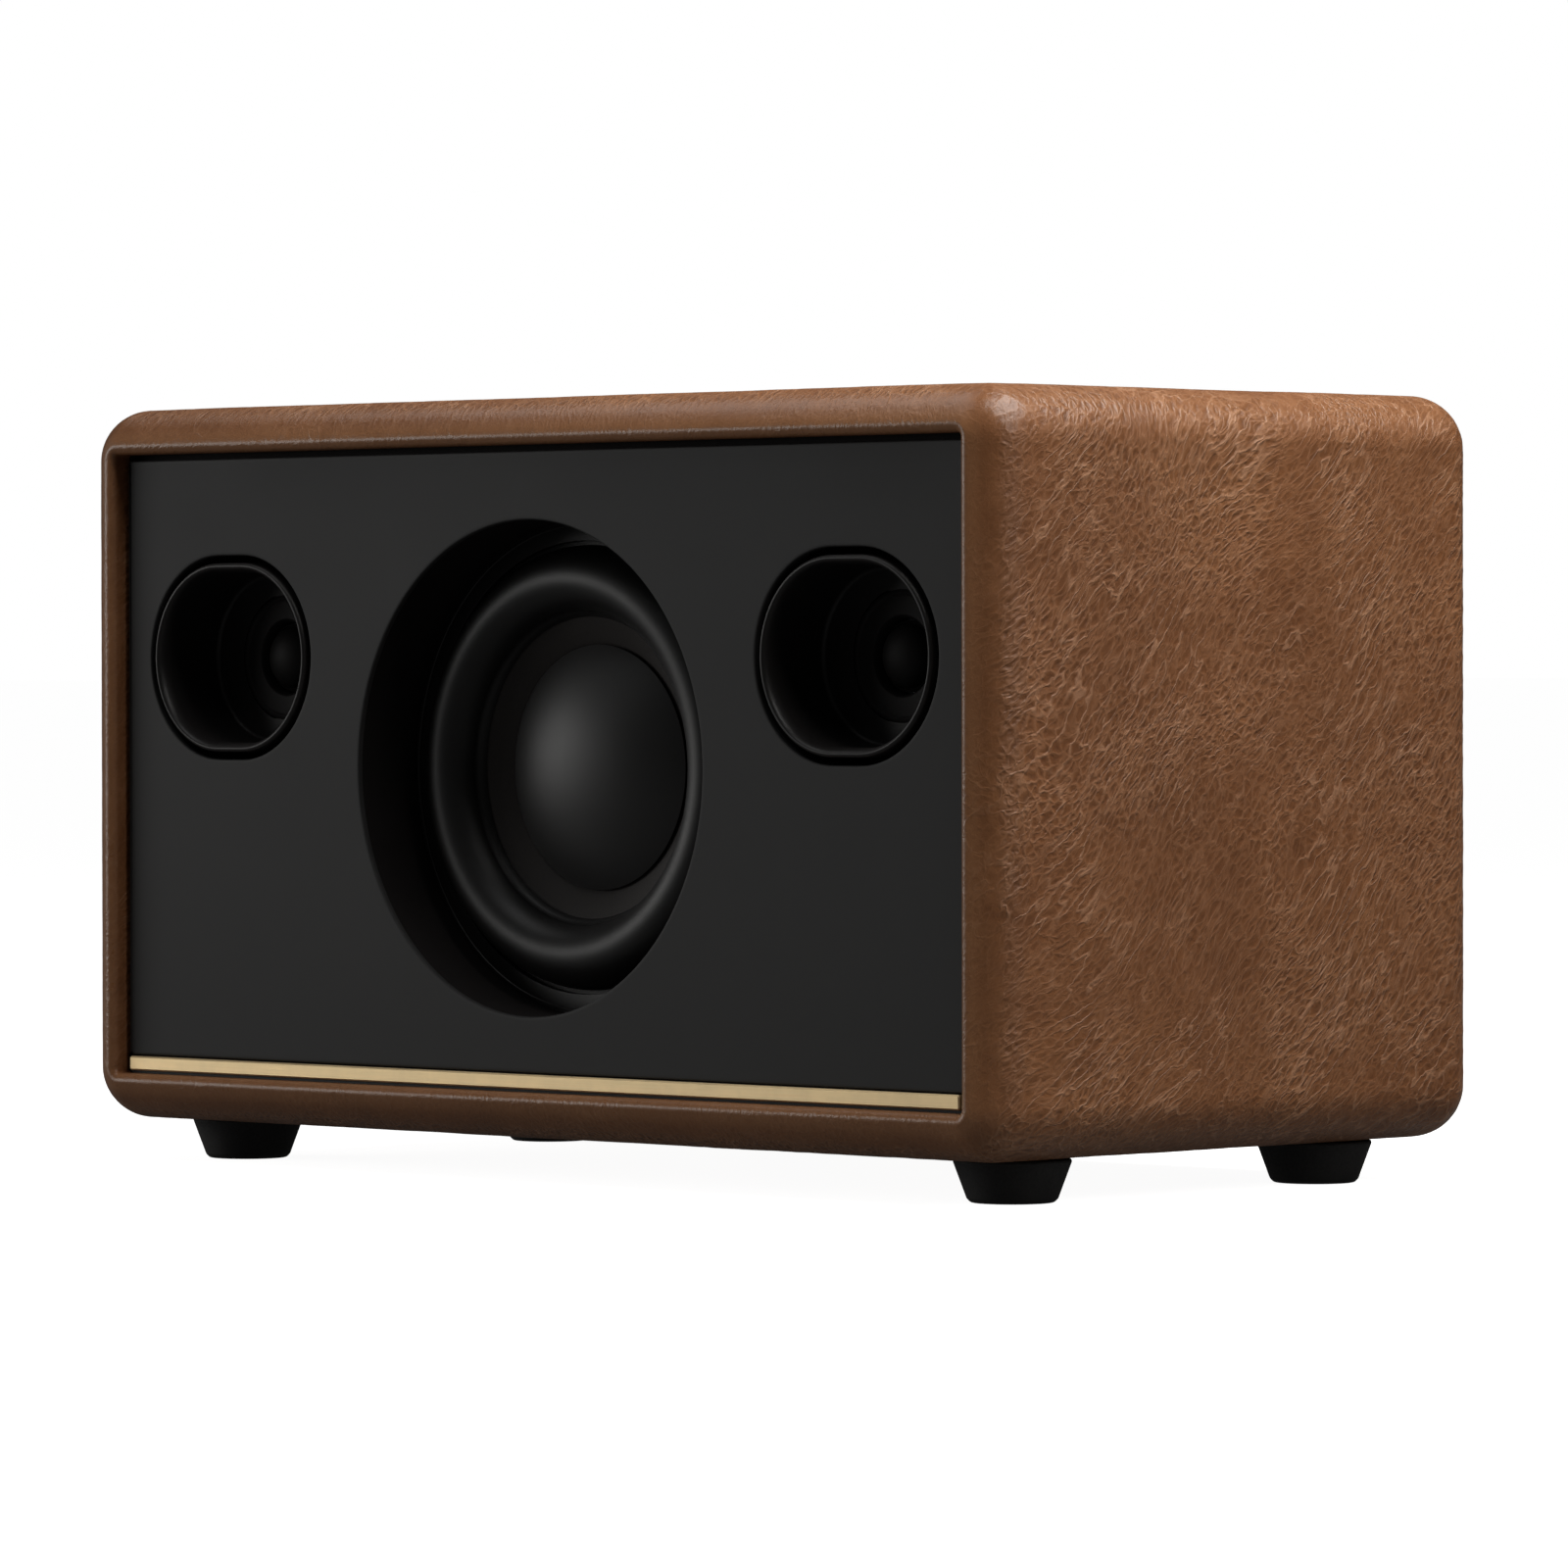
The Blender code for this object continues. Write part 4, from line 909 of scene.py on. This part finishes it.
# ------------------------------------------------------------- control well
ix, iy = 74.0, 21.0
ox, oy = ix + 1.6, iy + 1.6
top = Z1 + 0.3
rings = []
for hx, hy, r, z in (
    (ix, iy, 4.0, 141.5), (ix, iy, 4.0, top + 0.35), (ix + 0.15, iy + 0.15, 4.15, top + 0.75), (ix + 0.5, iy + 0.5, 4.5, top + 1.0),
    (ox + 3.5, oy + 3.5, 8.5, top + 1.0), (ox + 4.05, oy + 4.05, 9.05, top + 0.85), (ox + 4.35, oy + 4.35, 9.35, top + 0.5),
    (ox + 4.4, oy + 4.4, 9.4, top), (ox, oy, 5.6, top), (ox, oy, 5.6, 139.9),
):
    rings.append(at_z(round_rect(hx, hy, r, 12), z, 0.0, WELL_Y))


def well_tray():
    """Tub with the control holes through its floor."""
    verts, faces = loft(rings)
    faces = faces[:-2]
    n = len(rings[0])
    last = (len(rings) - 1) * n
    hole_list = [(x, WELL_Y, 4.4) for _, x, _ in KNOBS] + [(x, y, 4.1) for _, x, y in BUTTONS] + [(LEVER_X, WELL_Y, 4.4), (LENS_X, WELL_Y, 2.4)]
    up = [[(Vector((p[0], p[1], 0)), i) for i, p in enumerate(rings[0])]]
    down = [[(Vector((p[0], p[1], 0)), last + i) for i, p in enumerate(rings[-1])]]
    for hx, hy, r in hole_list:
        base = len(verts)
        c = circle(r, 32)
        verts += at_z(c, 141.5, hx, hy) + at_z(c, 139.9, hx, hy)
        for k in range(32):
            j = (k + 1) % 32
            faces.append([base + k, base + j, base + 32 + j, base + 32 + k])
        up.append([(Vector((hx + u, hy + v, 0)), base + k) for k, (u, v) in enumerate(c)])
        down.append([(Vector((hx + u, hy + v, 0)), base + 32 + k) for k, (u, v) in enumerate(c)])
    for loops in (up, down):
        ids = [i for lp in loops for _, i in lp]
        for t in tessellate_polygon([[p for p, _ in lp] for lp in loops]):
            if len({ids[q] for q in t}) == 3:
                faces.append([ids[q] for q in t])
    mesh_piece("well_tray", verts, faces, TRAY, BODY, ("control_tray",), "matte_black", sharp=35)


well_tray()
flat_plate(
    "well_plate",
    [(u, v + WELL_Y) for u, v in round_rect(ix - 0.3, iy - 0.3, 3.7, 10)],
    [(circle(4.4, 48), (x, WELL_Y)) for _, x, _ in KNOBS]
    + [(circle(4.1, 48), (x, y)) for _, x, y in BUTTONS]
    + [(circle(4.4, 48), (LEVER_X, WELL_Y)), (circle(2.4, 32), (LENS_X, WELL_Y))],
    142.8,
    141.8,
    "Z",
    BRASS_PLATE,
    BODY,
    ("control_plate",),
    "brass",
    edge=0.18,
)


def ticks():
    """Printed scale marks round each knob, and a bar by each button."""
    verts, faces = [], []

    def bar(cx, cy, a, r0, r1, w):
        c, s = math.cos(a), math.sin(a)
        base = len(verts)
        for z in (142.8, 142.84):
            for r, v in ((r0, -w), (r1, -w), (r1, w), (r0, w)):
                verts.append((cx + c * r - s * v, cy + s * r + c * v, z))
        for f in ((4, 5, 6, 7), (0, 3, 2, 1), (0, 1, 5, 4), (1, 2, 6, 5), (2, 3, 7, 6), (3, 0, 4, 7)):
            faces.append([base + q for q in f])

    for word, x, _ in KNOBS:
        count = 11 if word != "tuning" else 21
        for k in range(count):
            a = math.radians(-90 - 150 + 300 * k / (count - 1))
            long_ = k % 5 == 0
            bar(x, WELL_Y, a, 12.2, 14.4 if long_ else 13.4, 0.22 if long_ else 0.15)
    for _, x, y in BUTTONS:
        bar(x, y, 0.0, 5.4, 8.0, 0.3)
    bar(LEVER_X, WELL_Y, math.pi / 2, 6.6, 8.6, 0.3)
    bar(LEVER_X, WELL_Y, -math.pi / 2, 6.6, 8.6, 0.3)
    mesh_piece("plate_marks", verts, faces, MARK, BODY, (), "matte_black", sharp=None)


ticks()

for word, x, turn in KNOBS:
    c = (x, WELL_Y)
    body = f"{word}_control"
    # fluted side: rings with a fine wave, smooth top with a dished centre
    n = 240
    prof = rounded(
        [(0.0, 153.3), (7.2, 153.3, 1.0), (8.0, 153.8, 0.5), (10.1, 153.8, 0.5), (10.7, 153.1, 0.4), (10.95, 145.4, 0.0), (10.95, 145.0, 0.2), (10.6, 144.7, 0.2), (11.0, 144.4, 0.2), (11.0, 143.9), (7.0, 143.9), (7.0, 145.4), (3.3, 145.4), (3.3, 151.3), (0.0, 151.3)],
        False, 4,
    )
    rings_k = []
    for r, h in prof:
        if r <= 1e-9:
            rings_k.append([(x, WELL_Y, h)])
            continue
        pts = []
        for k in range(n):
            a = 2 * math.pi * k / n
            flute = 0.0
            if r > 10.4 and 145.2 < h < 153.3:
                flute = 0.17 * (0.5 + 0.5 * math.cos(60 * a)) ** 0.7
            pts.append((x + (r - flute) * math.cos(a), WELL_Y + (r - flute) * math.sin(a), h))
        rings_k.append(pts)
    mesh_piece(f"{word}_knob_cap", *loft(rings_k), BRASS_TURNED, body, (f"{word}_knob",), "brass", sharp=42)
    a = math.radians(-90.0 - turn)
    ca, sa = math.cos(a), math.sin(a)
    verts = []
    for z in (153.79, 153.86):
        for u, v in ((8.3, -0.4), (10.2, -0.4), (10.2, 0.4), (8.3, 0.4)):
            verts.append((x + ca * u - sa * v, WELL_Y + sa * u + ca * v, z))
    faces = [(4, 5, 6, 7), (0, 3, 2, 1), (0, 1, 5, 4), (1, 2, 6, 5), (2, 3, 7, 6), (3, 0, 4, 7)]
    mesh_piece(f"{word}_pointer", verts, faces, MARK, body, (), "matte_black", sharp=30)

for word, x, y in BUTTONS:
    turned(
        f"{word}_key",
        [(0, 146.8), (2.6, 146.95, 0.6), (3.7, 147.0, 0.7), (3.7, 139.6), (4.9, 139.6), (4.9, 138.4), (1.5, 138.4), (1.5, 134.9), (0, 134.9)],
        "Z", (x, y), 64, BRASS_TURNED, f"{word}_key", (f"{word}_button",), "brass",
    )
turned(
    "toggle_bush",
    [(0, 131.6), (6.5, 131.6), (6.5, 139.6), (4.0, 139.6), (4.0, 142.9), (5.6, 142.9, 0.2), (5.6, 144.2, 0.3), (4.0, 144.2), (4.0, 144.6, 0.15), (3.4, 144.6, 0.15), (2.0, 141.0), (3.1, 135.4), (0, 135.4)],
    "Z", (LEVER_X, WELL_Y), 64, NICKEL, BODY, ("power_switch",), "nickel",
)


def lever():
    prof = rounded([(0, 136.6), (1.1, 136.9), (1.3, 141.0), (1.3, 145.5, 3.0), (2.0, 151.4, 2.0), (2.1, 152.8, 1.2), (1.3, 153.9, 1.0), (0, 153.95)], False, 6)
    t = math.radians(14.0)
    rings_l = []
    for r, h in prof:
        ring = [(0.0, 0.0)] if r <= 1e-9 else circle(r, 48)
        pts = []
        for u, v in ring:
            yy, zz = v, h - 141.0
            pts.append((LEVER_X + u, WELL_Y + yy * math.cos(t) - zz * math.sin(t), 141.0 + yy * math.sin(t) + zz * math.cos(t)))
        rings_l.append(pts)
    mesh_piece("toggle_bat", *loft(rings_l), BRASS_TURNED, "power_toggle", ("power_lever",), "brass", sharp=50)


lever()
turned(
    "lamp_lens",
    [(0, 144.0)] + [(2.0 * math.sin(math.radians(10 * k)), 142.6 + 1.4 * math.cos(math.radians(10 * k))) for k in range(1, 10)] + [(2.0, 138.6), (0, 138.6)],
    "Z", (LENS_X, WELL_Y), 48, LENS, BODY, ("indicator_lens",), "lens_red",
)

# --------------------------------------------------------------------- feet
for word, (x, y) in FEET.items():
    turned(
        f"rubber_foot_{word}",
        [(0, 0.25), (4.5, 0.25, 0.3), (5.2, 0.0, 0.4), (8.0, 0.0, 1.0), (8.75, 0.8, 1.0), (11.35, 7.8, 0.5), (11.2, 8.3, 0.2), (0, 8.3)],
        "Z", (x, y), 96, FOOT, BODY, (f"foot_{word}",), "rubber",
    )

# -------------------------------------------- carried-over nodes, mostly inside
KEEP = {
    "cabinet": WOOD, "woofer_basket": BLACK_STEEL, "woofer_spider": CLOTH, "woofer_top_plate": STEEL, "woofer_magnet": FERRITE,
    "woofer_yoke": STEEL, "voice_coil": COPPER, "control_board": BOARD, "amp_board": BOARD, "heat_sink": ANOD, "battery_pack": WRAP,
    "ferrite_antenna": FERRITE, "brass_strip": BRASS_X,
}
for w in ("left", "right"):
    KEEP[f"tweeter_magnet_{w}"] = STEEL
for k in range(1, 5):
    KEEP[f"woofer_screw_{k}"] = BLACK_STEEL
for w in ("volume", "tone", "tuning"):
    KEEP[f"{w}_shaft"] = STEEL
    KEEP[f"{w}_pot"] = NICKEL
for name, mat in KEEP.items():
    o = NODES[name]
    if o.material_slots:
        for s in o.material_slots:
            s.material = mat
    else:
        o.data.materials.append(mat)

# ------------------------------------------------------------------- stage
fl = bpy.data.meshes.new("floor")
s = 40.0
fl.from_pydata([(-s, -s, 0), (s, -s, 0), (s, s, 0), (-s, s, 0)], [], [(0, 1, 2, 3)])
floor = bpy.data.objects.new("floor", fl)
bpy.context.scene.collection.objects.link(floor)
t = Mat("floor_pale", (0.80, 0.80, 0.80), 0.9, Specular_IOR_Level=0.1, Emission_Color=(1.0, 1.0, 1.0, 1.0))
# seen white, and throwing a much softer light back up on to the object
eye = t.node("LightPath").outputs["Is Camera Ray"]
pale = t.ramp(t.noise(t.mm, 0.01), [(0.3, (0.79, 0.79, 0.79)), (0.7, (0.81, 0.81, 0.81))])
glossy = t.node("LightPath").outputs["Is Glossy Ray"]
t.colour(t.mix(eye, (0.10, 0.10, 0.10), pale))
t.link(t.math("ADD", t.span(eye, 0.0, 1.0, 0.03, 0.95), t.math("MULTIPLY", glossy, 0.02)), t.b.inputs["Emission Strength"])
fl.materials.append(t.m)

# ------------------------------------------------------------------ lights
CENTRE = Vector((0.0, 0.0, 0.08))


def area(name, az, el, dist, w, h, power, colour=(1, 1, 1), aim=CENTRE):
    """az is measured from straight ahead of the front, towards +X."""
    a, e = math.radians(az), math.radians(el)
    loc = CENTRE + Vector((math.sin(a) * math.cos(e), -math.cos(a) * math.cos(e), math.sin(e))) * dist
    d = bpy.data.lights.new(name, "AREA")
    d.shape = "RECTANGLE"
    d.size, d.size_y = w, h
    d.energy = power
    d.color = colour
    o = bpy.data.objects.new(name, d)
    o.location = loc
    o.rotation_euler = (aim - loc).to_track_quat("-Z", "Y").to_euler()
    bpy.context.scene.collection.objects.link(o)
    return o


area("key_right", 98, 58, 0.54, 0.45, 0.36, 3.6, (1.0, 0.98, 0.95))
area("strip_right", 86, 26, 1.0, 0.06, 0.45, 1.5, (1.0, 0.98, 0.95))
area("front_left", -56, 4, 1.8, 1.2, 0.8, 9.5, (1.0, 0.99, 0.97))
area("top_front", -55, 62, 0.70, 0.7, 0.35, 1.1)

world = bpy.data.worlds.new("studio")
bpy.context.scene.world = world
world.use_nodes = True
nt = world.node_tree
bg = nt.nodes["Background"]
bg.inputs["Color"].default_value = (1.0, 1.0, 1.0, 1.0)
bg.inputs["Strength"].default_value = 0.05
seen = nt.nodes.new("ShaderNodeBackground")
seen.inputs["Color"].default_value = (1.0, 1.0, 1.0, 1.0)
seen.inputs["Strength"].default_value = 1.0
path = nt.nodes.new("ShaderNodeLightPath")
both = nt.nodes.new("ShaderNodeMixShader")
nt.links.new(path.outputs["Is Camera Ray"], both.inputs[0])
nt.links.new(bg.outputs[0], both.inputs[1])
nt.links.new(seen.outputs[0], both.inputs[2])
nt.links.new(both.outputs[0], nt.nodes["World Output"].inputs["Surface"])

# ------------------------------------------------------------------ camera
AZ, DIST, CAM_Z = math.radians(44.8238), 1732.92, 102.85
YAW, PITCH, ROLL, FOCAL = math.radians(-0.1178), math.radians(-0.819), math.radians(-0.0988), 8727.87
loc = Vector((DIST * math.sin(AZ), -DIST * math.cos(AZ), CAM_Z)) * MM
ya = AZ + YAW
fwd = Vector((-math.sin(ya) * math.cos(PITCH), math.cos(ya) * math.cos(PITCH), math.sin(PITCH)))
right = Vector((math.cos(ya), math.sin(ya), 0.0))
up = right.cross(fwd)
r2 = right * math.cos(ROLL) + up * math.sin(ROLL)
u2 = up * math.cos(ROLL) - right * math.sin(ROLL)
cam = bpy.data.cameras.new("camera")
cam.sensor_width = 36.0
cam.lens = FOCAL / 1600.0 * 36.0
cam.clip_start, cam.clip_end = 0.05, 50.0
cam_ob = bpy.data.objects.new("camera", cam)
cam_ob.matrix_world = Matrix(((r2.x, u2.x, -fwd.x, loc.x), (r2.y, u2.y, -fwd.y, loc.y), (r2.z, u2.z, -fwd.z, loc.z), (0, 0, 0, 1)))
bpy.context.scene.collection.objects.link(cam_ob)
bpy.context.scene.camera = cam_ob

bpy.context.scene.view_settings.view_transform = "Standard"
